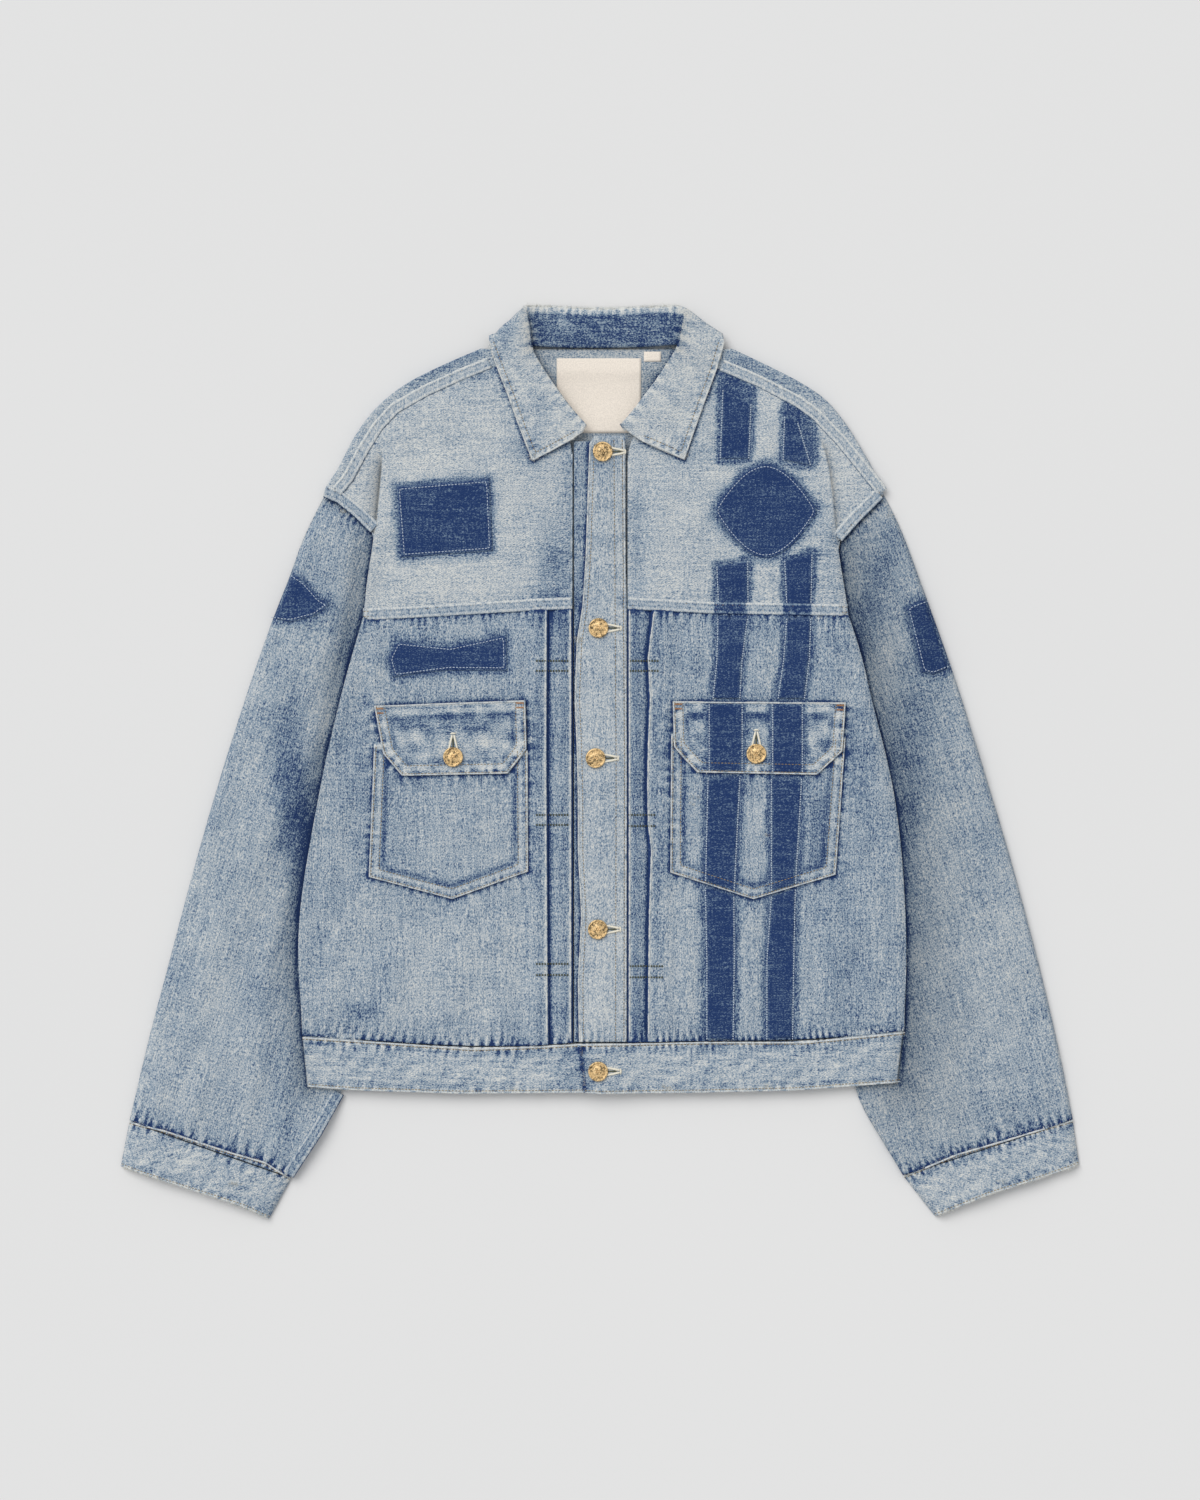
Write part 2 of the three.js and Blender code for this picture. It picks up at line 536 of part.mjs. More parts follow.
const COLLAR_BACK = [[0, 372.4, 3.5], [0, 391, 4.4], [0, 407.6, 3.2], [0, 400, 0.95], [0, 355, 0.9]];
const COLLAR_LEFT = [
  [[22, 297, 7.4], [20, 300, 8.4], [19, 302, 9.3], [37, 287.5, 9.2], [76, 271, 7.5]],
  [[38, 312, 7.3], [33, 313, 8.6], [29, 312, 10.0], [55, 305, 9.4], [86, 300, 7.5]],
  [[53, 332, 7.3], [47, 333, 8.8], [44, 333, 10.4], [68, 331, 9.4], [96, 328, 7.5]],
  [[68, 350, 7.2], [62, 351, 8.8], [58, 353, 10.6], [80, 353, 9.6], [105, 352, 7.6]],
  [[74, 364, 6.8], [71, 368, 8.8], [70, 373, 10.6], [90, 374, 9.8], [112, 377, 8.2]],
  [[74, 370, 5.8], [73, 378, 8.0], [75, 389, 9.8], [93, 392, 7.8], [108, 386, 3.6]],
  [[72.5, 374.5, 4.8], [74, 388, 6.6], [77.5, 401, 7.4], [87, 400, 3.6], [94, 378, 0.9]],
  [[67, 375, 3.9], [69, 394, 5.2], [71, 411, 3.9], [74, 403, 1.0], [79, 366, 0.9]],
  [[40, 373, 3.5], [41, 392, 4.4], [42, 409.3, 3.2], [43, 401, 0.95], [44, 357, 0.9]],
];

function collar() {
  const stations = [...COLLAR_RIGHT, COLLAR_BACK, ...[...COLLAR_LEFT].reverse()];
  const vec = (p) => new THREE.Vector3(...p);
  const lines = stations[0].map((_, c) => new THREE.CatmullRomCurve3(
    stations.map((station) => vec(station[c])), false, "catmullrom", 0.35));
  const count = Math.round((stations.length - 1) * 1.5);
  const rows = steps(count).map((u) => {
    const net = lines.map((line) => line.getPoint(u));
    const roll = new THREE.CatmullRomCurve3(net, false, "catmullrom", 0.5);
    return [0, 0.2, 0.38, 0.5, 0.58, 0.68, 0.82, 1].map((v) => roll.getPoint(v));
  });
  return wall(rows, HEAVY);
}

// ---------------------------------------------------------------- plackets, pockets, flaps
const PLACKET_EDGE = [[-252.5, -19], [-199, -20], [-139, -17], [-80, -20], [-34, -20], [11, -21],
  [56, -23], [108, -21], [139, -16], [183, -13], [247, -11], [286, -9.5], [293, -5]];

const UNDERLAP = { outer: 23.4, inner: 13 };  // the under placket, from its free edge inwards

function plackets() {
  const edge = PLACKET_EDGE.map(([y, x]) => [x, y]);
  const fold = PLACKET_EDGE.map(([y]) => [y > 160 ? 23 : 24.2, y]);
  add("placket_left", laid(edge, fold, [0, 0.22, 0.5, 0.78, 1], flat(PLACKET_BASE), FLAP), BANDS);
  const ys = spread(-252.5, 288, 8);
  const under = ys.map((y) => [-UNDERLAP.outer, y]);
  const hidden = ys.map((y) => [UNDERLAP.inner, y]);
  add("placket_right", laid(under, hidden, [0, 0.3, 1], flat(Z_FRONT - CLOTH / 2), FLAP), MID);
}

const POCKETS = {
  right: {
    upper: [[-203, 18], [-170, 15], [-136, 12], [-100, 11], [-74, 10.4], [-66, 10.2], [-65, 10]],
    lower: [[-208, -104], [-170, -114], [-133, -124], [-100, -112], [-74, -102.5], [-66, -99.7],
      [-64.6, -99]],
    flapUpper: [[-203, 50], [-186, 50.5], [-136, 52.5], [-92, 54], [-74, 54.8], [-67, 55]],
    flapLower: [[-195, 7], [-178, -13], [-134, -12], [-83, -11], [-74, 0], [-66, 11]],
    button: [-132, 4],
  },
  left: {
    upper: [[64, 25], [66, 25], [74, 24.8], [105, 24.3], [141, 24], [180, 23.5], [221, 23]],
    lower: [[63.2, -100], [66, -101], [74, -103.5], [105, -113.8], [138, -124], [175, -113],
      [212, -102]],
    flapUpper: [[65.4, 54], [74, 54], [104, 53.8], [150, 53.5], [198, 53], [221, 53]],
    flapLower: [[66.4, 13], [74, 4], [87.5, -10], [141, -11], [195, -12], [218, 9]],
    button: [140.5, 7],
  },
};

// ---------------------------------------------------------------- buttons
// A shank button: a domed head with a raised rim, on a short post.
const BUTTON_RADIUS = 8.5;
function button(name, x, y, base) {
  const profile = [[0, 0], [7.4, 0.4], [BUTTON_RADIUS, 1.3], [BUTTON_RADIUS, 2.3], [7.4, 3.1], [0, 3.3]];
  const head = new THREE.LatheGeometry(profile.map((p) => new THREE.Vector2(...p)), 16);
  head.rotateX(Math.PI / 2);
  const mesh = add(name, weld(head), BRASS);
  mesh.position.set(x, y, base + SEAM);
}

// A lathe closed on its axis, with its doubled points made one.
function weld(geometry) {
  const position = geometry.getAttribute("position");
  const points = [];
  const index = [];
  const keys = new Map();
  const map = [];
  for (let i = 0; i < position.count; i++) {
    const p = new THREE.Vector3().fromBufferAttribute(position, i);
    const key = [p.x, p.y, p.z].map((n) => Math.round(n * 1e4)).join();
    if (!keys.has(key)) {
      keys.set(key, points.length);
      points.push(p);
    }
    map.push(keys.get(key));
  }
  const old = geometry.getIndex();
  for (let k = 0; k < old.count; k += 3) {
    const [a, b, c] = [0, 1, 2].map((n) => map[old.getX(k + n)]);
    if (a !== b && b !== c && c !== a) index.push(a, b, c);
  }
  return faceOut(points, index);
}

// ---------------------------------------------------------------- the jacket
for (const [name, part] of Object.entries(SIDES)) {
  const rings = sleeveRings(part);
  const pocket = POCKETS[name];
  add(`front_panel_${name}`, frontPanel(part), MID);
  add(`front_yoke_${name}`, frontYoke(part), PALE);
  add(`sleeve_${name}`, wall(rings, CLOTH, true), SLEEVE);
  add(`cuff_${name}`, cuff(part), BANDS);
  add(`sleeve_patch_${name}`, sleevePatch(part, rings), INDIGO);
  add(`pocket_${name}`, laid(pocket.upper, pocket.lower, steps(4), pocketBase, CLOTH), MID);
  add(`flap_${name}`, laid(pocket.flapUpper, pocket.flapLower, steps(3), flapBase, FLAP), PALE);
  button(`button_flap_${name}`, ...pocket.button, FLAP_BASE + FLAP);
}
add("back_panel", backPanel(), MID);
add("back_yoke", backYoke(), PALE);
add("waistband", waistband(), BANDS);
add("collar", collar(), STAND);
plackets();

const FRONT_BUTTONS = [[2.4, 278.7], [-1.4, 120], [-4, 3], [-2, -151]];
FRONT_BUTTONS.forEach(([x, y], i) => button(`button_front_${i + 1}`, x, y, PLACKET_TOP));
const LAP_TOP = Z_OVER - CLOTH / 2 + 3 * BAND + 2 * SEAM;
button("button_waist", -1.7, -278.5, LAP_TOP);

// Labels inside the back neck.
const neckTop = (x, y) => Z_BACK + (Z_NECK - Z_BACK) * smooth((y - 330) / 20) + CLOTH / 2 + SEAM;
const labelRows = [296, 320, 332, 342, 350, 363];
add("label", laid(labelRows.map((y) => [-39, y]), labelRows.map((y) => [37, y]), steps(2),
  neckTop, PATCH), CREAM);
add("size_tab", laid([[39.5, 360], [39.5, 369]], [[55, 360], [55, 369]], [0, 1], neckTop, PATCH), CREAM);

// Boro patches on the flat of the yokes and panels.
const ON_FRONT = POCKET_BASE;
const patches = {
  patch_rectangle: [[[-179, 183], [-137.5, 186], [-96, 189]], [[-184, 248], [-141.5, 251.5], [-99, 255]]],
  patch_waisted: [[[-191, 90], [-186, 75], [-160, 79.5], [-135, 81.5], [-110, 81.5], [-83, 81]],
    [[-189.5, 96], [-183, 109], [-160, 106], [-135, 104], [-110, 107.5], [-84, 115]]],
};
for (const [name, [lower, upper]] of Object.entries(patches)) {
  add(name, laid(lower, upper, steps(3), flat(ON_FRONT), PATCH), INDIGO);
}

// Pointed oval: two arcs that meet in blunt points.
const OVAL = { x: 149, y: 225.5, halfWidth: 46, halfHeight: 43, blunt: 3 };
function ovalEdge(sign) {
  return spread(-1, 1, 10).map((t) => {
    const height = OVAL.blunt + (OVAL.halfHeight - OVAL.blunt) * (1 - Math.abs(t) ** 1.9);
    return [OVAL.x + OVAL.halfWidth * t, OVAL.y + sign * height];
  });
}
add("patch_oval", laid(ovalEdge(-1), ovalEdge(1), steps(3), flat(ON_FRONT), PATCH), INDIGO);

// Two long stripes down the left front, in runs cut by the seams, flap and pocket.
const STRIPES = {
  stripe_inner_shoulder: { z: ON_FRONT, left: [[108, 272], [110.5, 335]], right: [[134, 272], [136, 322]] },
  stripe_outer_shoulder: { z: ON_FRONT, left: [[164.5, 270.5], [166, 311]], right: [[190, 266], [178, 305]] },
  stripe_inner_yoke: { z: ON_FRONT, left: [[106.5, 136.5], [105, 176]], right: [[133.5, 136], [133, 181]] },
  stripe_outer_yoke: { z: ON_FRONT, left: [[168, 134.5], [166, 181]], right: [[190, 134.5], [191, 187]] },
  stripe_inner_chest: { z: ON_FRONT, left: [[101.5, 56], [105, 91], [106, 131]],
    right: [[126, 56], [128, 91], [133, 131]] },
  stripe_outer_chest: { z: ON_FRONT, left: [[160, 56], [165, 91], [168, 130]],
    right: [[184, 56], [188.5, 91], [190, 130]] },
  stripe_inner_flap: { z: ON_FLAP, left: [[98, -9], [98, 52]], right: [[128, -9], [128, 52]] },
  stripe_outer_flap: { z: ON_FLAP, left: [[155, -10], [155, 52]], right: [[182, -10], [182, 52]] },
  stripe_inner_pocket: { z: FLAP_BASE, left: [[94.8, -108], [97, -14]], right: [[120.8, -117], [126, -14]] },
  stripe_outer_pocket: { z: FLAP_BASE, left: [[154, -117], [154, -15]], right: [[176, -110.5], [181.5, -15]] },
  stripe_inner_hem: { z: ON_FRONT, left: [[96, -251], [96, -179], [94.6, -112.6]],
    right: [[120, -251], [121, -179], [120.6, -121]] },
  stripe_outer_hem: { z: ON_FRONT, left: [[150, -251], [150, -179], [154, -121]],
    right: [[173.5, -251], [174.5, -179], [176, -114.5]] },
};
for (const [name, run] of Object.entries(STRIPES)) {
  add(name, laid(run.left, run.right, steps(2), flat(run.z), PATCH), INDIGO);
}

// Stand the origin under the middle of the jacket's outline.
const box = new THREE.Box3().setFromObject(jacket);
jacket.position.set(-(box.min.x + box.max.x) / 2, -(box.min.y + box.max.y) / 2, -box.min.z);

export default jacket;
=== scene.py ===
import json
import math
from typing import NamedTuple

import bmesh
import bpy
import numpy as np
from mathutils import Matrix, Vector
from mathutils.bvhtree import BVHTree

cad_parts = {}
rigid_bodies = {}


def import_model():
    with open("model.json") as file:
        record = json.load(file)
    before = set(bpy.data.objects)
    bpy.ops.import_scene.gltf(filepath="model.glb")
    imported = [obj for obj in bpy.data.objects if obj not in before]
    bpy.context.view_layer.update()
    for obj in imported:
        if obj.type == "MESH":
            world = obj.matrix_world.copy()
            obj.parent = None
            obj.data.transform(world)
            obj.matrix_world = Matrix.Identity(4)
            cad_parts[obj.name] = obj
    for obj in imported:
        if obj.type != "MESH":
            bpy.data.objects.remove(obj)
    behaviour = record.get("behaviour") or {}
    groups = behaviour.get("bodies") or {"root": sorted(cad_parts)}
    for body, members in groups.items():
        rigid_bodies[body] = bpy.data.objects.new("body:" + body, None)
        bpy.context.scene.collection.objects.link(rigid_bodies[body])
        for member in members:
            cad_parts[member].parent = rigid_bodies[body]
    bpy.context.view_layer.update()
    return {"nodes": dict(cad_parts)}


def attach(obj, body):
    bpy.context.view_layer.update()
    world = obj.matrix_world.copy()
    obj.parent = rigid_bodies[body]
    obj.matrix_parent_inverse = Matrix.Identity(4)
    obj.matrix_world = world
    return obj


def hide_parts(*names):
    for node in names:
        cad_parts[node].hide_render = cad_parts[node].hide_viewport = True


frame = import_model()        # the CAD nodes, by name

bl_info = {
    "name": "Patched boro jacket",
    "version": (1, 0, 0),
    "blender": (4, 5, 0),
    "location": "3D view > Sidebar > Jacket",
    "description": "Dresses the frame of a laid-out denim jacket with cloth, stitching, patches and buttons",
    "category": "Object",
}

MM = 0.001
FAR = 1e9                                 # further than anything on the jacket, in millimetres
SIDES = ("right", "left")
TURNS = (("right", 1), ("left", -1))      # each side, and the sign of its lines' sideways moves

# ------------------------------------------------------------------ outlines, in millimetres
# "right" and "left" are the wearer's. The right side is at -X.
YOKE_SEAM = {
    "right": [(-213, 128), (-154, 131), (-57, 137), (-25, 138)],
    "left": [(25, 138), (103, 134), (223, 132)],
}
WAIST_SEAM = {
    "right": [(-268, -247.5), (-201, -252), (-115, -258), (-55, -256), (-20, -254)],
    "left": [(-18, -254), (24, -253.5), (92, -252), (184, -252), (275, -243)],
}
SHOULDER_SEAM = {
    "right": [
        (-98, 355), (-125, 344), (-153.5, 331), (-182, 315), (-197, 299), (-210, 278), (-223, 254),
        (-234, 240),
    ],
    "left": [(108, 353), (141, 339), (177, 320), (192, 309), (214, 286), (247, 245), (250, 240)],
}
ARMHOLE_SEAM = {
    "right": [(-248.5, 239.5), (-236, 234), (-220, 221), (-206, 207)],
    "left": [(254, 238), (244, 228), (233, 217), (217, 199)],
}
BODY_EDGE = {
    "right": [
        (-197, 283), (-199, 252), (-201, 219), (-204, 204), (-212, 142), (-230, 75), (-247, 6),
        (-260, -65), (-271.5, -134), (-274, -189), (-270, -225), (-263, -293),
    ],
    "left": [
        (194, 299), (203, 280), (209, 250), (214, 198), (224.5, 129), (237, 94), (244, 56), (258, 5),
        (267, -40), (274, -106), (277, -174), (275, -243), (271, -289),
    ],
}
CUFF_SEAM = {
    "right": [(-424, -324), (-390, -332), (-360, -342), (-331, -351.5), (-301, -360), (-278, -375)],
    "left": [(273, -373), (320.5, -353), (365, -340), (395, -331), (426, -322.5)],
}
CUFF_END = {
    "right": [(-432, -365), (-390, -379), (-346, -393), (-319, -402), (-298.5, -412.5)],
    "left": [(302, -410), (350, -390), (395, -376), (432, -363.5)],
}
SLEEVE_INNER = {
    "right": [(-232, -300), (-252, -336), (-277, -374)],
    "left": [(229, -300), (250, -335), (272, -372)],
}
HEM = [(-263, -293), (-218, -296), (-124, -299), (-15, -298), (0, -299), (92, -298), (176, -296), (271, -289)]
PLACKET_EDGE = [
    (-19, -252), (-20, -199), (-17, -139), (-20, -80), (-20, -34), (-21, 11), (-23, 56), (-21, 108),
    (-16, 139), (-13, 183), (-11, 247), (-9.5, 286),
]
PLACKET_FOLD = [(23, -252), (23.5, 0), (22.5, 150), (21.5, 290)]
UNDER_SEAM = [(-25.8, 139), (-25.6, 210), (-25.4, 284)]
BAND_END = [(-17.5, -257), (-13.5, -297)]
POCKET = {
    "right": [(-203, 14), (-208, -104), (-133, -124), (-64.5, -99), (-65.2, 10)],
    "left": [(64, 22), (63.2, -100), (138, -124), (212, -102), (221, 20)],
}
POCKET_FLAP = {
    "right": [(-203, 50), (-195, 7), (-178, -13), (-83, -11), (-66, 11), (-67, 55)],
    "left": [(65.4, 54), (66.4, 13), (87.5, -10), (195, -12), (218, 9), (221, 53)],
}
PLEAT_INNER = {"right": [(-26, -250), (-26, 136)], "left": [(26, -250), (26, 136)]}
PLEAT_OUTER = {
    "right": [(-47, -250), (-48.5, 0), (-48, 136)],
    "left": [
        (43, -250), (44, -139), (46, -79), (43, -56), (42.5, -19), (43, 11), (45, 56), (43, 93), (48, 134),
    ],
}
COLLAR_EDGE = {
    "right": [(-101, 376), (-92, 352), (-82.5, 328), (-73, 301), (-61, 270), (-40, 281), (-20, 292)],
    "left": [(112, 376), (105, 352), (96, 328), (86, 300), (76, 271), (56, 280), (37, 288)],
}
COLLAR_ROLL = {
    "right": [(-12.5, 302), (-27, 318), (-40, 336), (-52.5, 354), (-61.5, 371), (-63, 388), (-65, 401)],
    "left": [(19, 302), (29, 312), (44, 333), (58, 353), (70, 373), (75, 389), (77.5, 401)],
}
COLLAR_TOP = [(-66, 411), (-39, 410), (0, 408), (42, 410), (71, 411)]
NECK = [(-62, 371), (70, 373), (60, 340), (22, 296), (-20, 296), (-50, 335)]
STAND = [(-62, 372), (-64, 388), (-65, 403), (-38, 403), (0, 401), (41, 403), (76, 403), (73, 388), (71, 372)]
PATCHES = {
    "patch_rectangle": [(-179, 183), (-96, 189), (-99, 255), (-184, 248)],
    "patch_waisted": [(-186, 75), (-135, 81.5), (-83, 81), (-84, 115), (-135, 104), (-183, 109), (-191, 92)],
    "stripe_inner_shoulder": [(108, 272), (134, 272), (136, 322), (110.5, 335)],
    "stripe_outer_shoulder": [(164.5, 270.5), (190, 266), (178, 305), (166, 311)],
    "stripe_inner_yoke": [(106.5, 140), (133.5, 140), (133, 181), (105, 176)],
    "stripe_outer_yoke": [(168, 140), (190, 140), (191, 187), (166, 181)],
    "stripe_inner_chest": [(101.5, 56), (126, 56), (128, 91), (133, 129), (106, 129), (105, 91)],
    "stripe_outer_chest": [(160, 56), (184, 56), (188.5, 91), (190, 129), (168, 129), (165, 91)],
    "stripe_inner_flap": [(98, -9), (128, -9), (128, 52), (98, 52)],
    "stripe_outer_flap": [(155, -10), (182, -10), (182, 52), (155, 52)],
    "stripe_inner_pocket": [(94.8, -108), (120.8, -117), (126, -14), (97, -14)],
    "stripe_outer_pocket": [(154, -117), (176, -110.5), (181.5, -15), (154, -15)],
    "stripe_inner_hem": [(96, -251), (120, -251), (121, -179), (120.6, -121), (94.6, -112.6), (96, -179)],
    "stripe_outer_hem": [(150, -251), (173.5, -251), (174.5, -179), (176, -114.5), (154, -121), (150, -179)],
}
OVAL_CENTRE = (149.0, 225.5)
OVAL_HALF = (46.0, 43.0)
OVAL_POINT = 3.0                          # half the height at which the oval's ends are cut blunt
OVAL_BOW = 1.9                            # how full its sides are
FRONT_BUTTONS = [(2.4, 278.7), (-1.4, 120), (-4, 3), (-2, -151)]
WAIST_BUTTON = (-1.7, -278.5)
FLAP_BUTTONS = {"right": (-132, 4), "left": (140.5, 7)}


def oval_outline(steps=24):
    """The pointed oval's outline, as two arcs that meet in blunt points."""
    cx, cy = OVAL_CENTRE
    half_width, half_height = OVAL_HALF
    upper = []
    for i in range(steps + 1):
        t = 2 * i / steps - 1
        bow = 1 - abs(t) ** OVAL_BOW
        upper.append((cx + half_width * t, OVAL_POINT + (half_height - OVAL_POINT) * bow))
    top = [(x, cy + h) for x, h in upper]
    bottom = [(x, cy - h) for x, h in reversed(upper)]
    return top + bottom


def looped(outline):
    """An outline with its first point repeated at its end."""
    return outline + outline[:1]


PATCHES["patch_oval"] = oval_outline()
STRIPE_ENDS = {
    "stripe_end_inner": [(109, 330), (136, 317), (136.5, 338), (123, 344.5), (110, 350)],
    "stripe_end_outer": [
        (166, 306), (177, 300), (190, 268), (192.5, 270), (191.5, 304), (179, 316), (168, 322),
    ],
}
SLEEVE_PATCHES = {
    "sleeve_patch_right": [(-277, 170), (-265.5, 162.5), (-252, 147.2), (-243.4, 142), (-243.4, 139.6),
                           (-256.5, 130.1), (-279, 124.7), (-297, 127)],
    "sleeve_patch_left": [(295, 147.5), (281, 142.2), (274.5, 138.9), (289.5, 79.5), (300, 77.4), (318, 84)],
}


# ------------------------------------------------------------------ the cloth pieces
class Cut(NamedTuple):
    """How one piece of cloth is cut, marked and coloured."""
    group: str             # which seams, folds and stains mark it
    level: int             # how many times its frame is smoothed
    indigo: float          # how dark it is: 0 bleached, 1 raw
    grain: str             # which cloth it is cut from
    flat: tuple = None     # the cut's width and length in metres, where its outline doesn't give them
    share: float = 1.0     # how much of that rectangle the cut fills


CLOTH = {}
for side in SIDES:
    CLOTH[f"front_panel_{side}"] = Cut("front", 2, 0.47, "panel", (0.335, 0.40), 0.86)
    CLOTH[f"front_yoke_{side}"] = Cut("front", 2, 0.30, "yoke", (0.235, 0.235), 0.72)
    CLOTH[f"sleeve_{side}"] = Cut("sleeve", 2, 0.46, f"sleeve_{side}", (0.46, 0.64), 0.74)
    CLOTH[f"cuff_{side}"] = Cut("sleeve", 2, 0.40, f"cuff_{side}", (0.325, 0.05), 0.9)
    CLOTH[f"pocket_{side}"] = Cut("front", 0, 0.49, "panel", (0.155, 0.148), 0.87)
    CLOTH[f"flap_{side}"] = Cut("front", 0, 0.42, "yoke", (0.155, 0.068), 0.86)
    CLOTH[f"sleeve_patch_{side}"] = Cut("sleeve", 0, 1.0, "indigo")
CLOTH["placket_left"] = Cut("front", 0, 0.40, "panel", (0.045, 0.546), 0.95)
CLOTH["placket_right"] = Cut("front", 0, 0.46, "panel", (0.037, 0.541), 1.0)
CLOTH["back_panel"] = Cut("back", 2, 0.47, "panel", (0.55, 0.39), 0.95)
CLOTH["back_yoke"] = Cut("back", 2, 0.40, "yoke", (0.56, 0.30), 0.80)
CLOTH["waistband"] = Cut("front", 2, 0.40, "yoke", (1.10, 0.046), 0.95)
CLOTH["collar"] = Cut("collar", 2, 0.30, "yoke", (0.44, 0.075), 0.85)
CLOTH["label"] = Cut("plain", 0, 0.0, "label", (0.076, 0.067), 1.0)
CLOTH["size_tab"] = Cut("plain", 0, 0.0, "label", (0.0155, 0.010), 0.9)
for name in PATCHES:
    CLOTH[name] = Cut("patch", 0, 1.0, "indigo")

# ------------------------------------------------------------------ folds and creases
# Each fold is a soft ridge: its start and end, half-width and height in millimetres.
FOLDS = {
    "front": [
        ((-70, 126, -78, 60), 6, 1.0), ((-96, 127, -100, 72), 5, 0.7), ((-200, 124, -206, 40), 7, 1.1),
        ((-222, 90, -240, 10), 8, 1.2), ((-228, -20, -250, -120), 11, 1.6),
        ((-120, -140, -140, -248), 12, 1.2), ((-180, -150, -196, -250), 13, 1.3),
        ((-240, -170, -246, -246), 10, 1.2), ((-90, -135, -84, -250), 9, 0.9),
        ((82, 128, 84, 70), 6, 0.9), ((146, 130, 148, 62), 8, 1.0), ((205, 128, 216, 30), 8, 1.2),
        ((238, 60, 252, -40), 10, 1.4), ((230, -60, 252, -150), 11, 1.5),
        ((204, -130, 212, -246), 12, 1.4), ((80, -130, 78, -248), 8, 1.0),
        ((136, -140, 137, -248), 8, 1.0), ((240, -180, 250, -242), 9, 1.2),
        ((-190, 236, -206, 150), 7, 1.0), ((-186, 170, -150, 140), 9, 0.7),
        ((-120, 330, -80, 262), 12, 0.9), ((-60, 250, -44, 160), 10, 0.7), ((60, 250, 46, 160), 10, 0.7),
        ((200, 250, 214, 150), 7, 1.1), ((96, 330, 88, 250), 10, 0.8), ((150, 300, 152, 276), 9, 0.7),
        ((80, 240, 84, 160), 9, 0.7),
    ],
    "sleeve_right": [
        ((-214, 196, -262, 60), 12, 3.0), ((-226, 208, -300, 40), 14, 1.6),
        ((-246, 226, -300, 120), 10, 1.2), ((-240, 60, -292, -60), 13, 2.6),
        ((-292, -40, -330, -150), 15, 1.8), ((-276, -80, -312, -250), 12, 2.8),
        ((-340, -120, -372, -260), 14, 1.6), ((-300, -250, -326, -336), 10, 1.8),
        ((-356, -280, -372, -334), 9, 1.5), ((-278, -262, -292, -352), 8, 1.6),
        ((-330, 10, -352, -70), 10, 1.0), ((-392, -260, -402, -322), 7, 1.2),
    ],
    "sleeve_left": [
        ((222, 190, 262, 70), 12, 2.8), ((236, 206, 300, 50), 14, 1.6), ((254, 222, 296, 130), 9, 1.2),
        ((250, 56, 296, -70), 13, 2.4), ((300, -30, 334, -140), 15, 1.7),
        ((284, -90, 312, -250), 12, 2.8), ((344, -130, 374, -264), 14, 1.6),
        ((300, -256, 318, -346), 10, 1.8), ((352, -272, 366, -334), 9, 1.5),
        ((276, -270, 288, -350), 8, 1.6), ((330, 20, 350, -70), 10, 1.0),
        ((390, -250, 402, -322), 7, 1.2),
    ],
}
FOLDS["sleeve"] = FOLDS["sleeve_right"] + FOLDS["sleeve_left"]
FOLDS["back"] = []

# Seams that pucker the cloth beside them: line, ripple length, reach, ripple height in millimetres, and how
# much the ripples' tops are whitened and their bottoms darkened.
SEAM_MARKS = {"front": [], "sleeve": [], "back": [], "collar": []}
for side in SIDES:
    SEAM_MARKS["front"] += [
        (YOKE_SEAM[side], 8.5, 13, 0.45, 0.14, 0.42), (WAIST_SEAM[side], 8.0, 11, 0.5, 0.32, 0.52),
        (SHOULDER_SEAM[side], 9.0, 9, 0.3, 0.08, 0.16), (ARMHOLE_SEAM[side], 8.5, 10, 0.4, 0.12, 0.22),
        (POCKET[side], 12.0, 7, 0.12, 0.24, 0.16), (POCKET_FLAP[side], 12.0, 9, 0.15, 0.34, 0.26),
    ]
    SEAM_MARKS["sleeve"] += [
        (ARMHOLE_SEAM[side], 8.5, 14, 0.5, 0.16, 0.3), (CUFF_SEAM[side], 8.0, 13, 0.6, 0.34, 0.55),
        (CUFF_END[side], 9.0, 9, 0.2, 0.34, 0.16), (SLEEVE_INNER[side], 9.0, 8, 0.3, 0.12, 0.12),
    ]
    SEAM_MARKS["collar"] += [
        (COLLAR_EDGE[side], 9.0, 12, 0.25, 0.36, 0.22), (COLLAR_ROLL[side], 10.0, 11, 0.25, 0.3, 0.22),
    ]
    SEAM_MARKS["back"] += [(SHOULDER_SEAM[side], 9.0, 10, 0.2, 0.10, 0.16)]
SEAM_MARKS["front"] += [(HEM, 12.0, 8, 0.2, 0.30, 0.14), (PLACKET_EDGE, 16.0, 6, 0.1, 0.10, 0.06)]
SEAM_MARKS["collar"] += [(COLLAR_TOP, 9.0, 10, 0.2, 0.44, 0.2)]
BACK_YOKE_SEAM = [(-213, 130), (222, 130)]
BACK_WAIST_SEAM = [(-270, -259.5), (275, -259.5)]
SEAM_MARKS["back"] += [
    (BACK_YOKE_SEAM, 9.5, 13, 0.15, 0.2, 0.3), (BACK_WAIST_SEAM, 9.5, 13, 0.12, 0.2, 0.3),
]
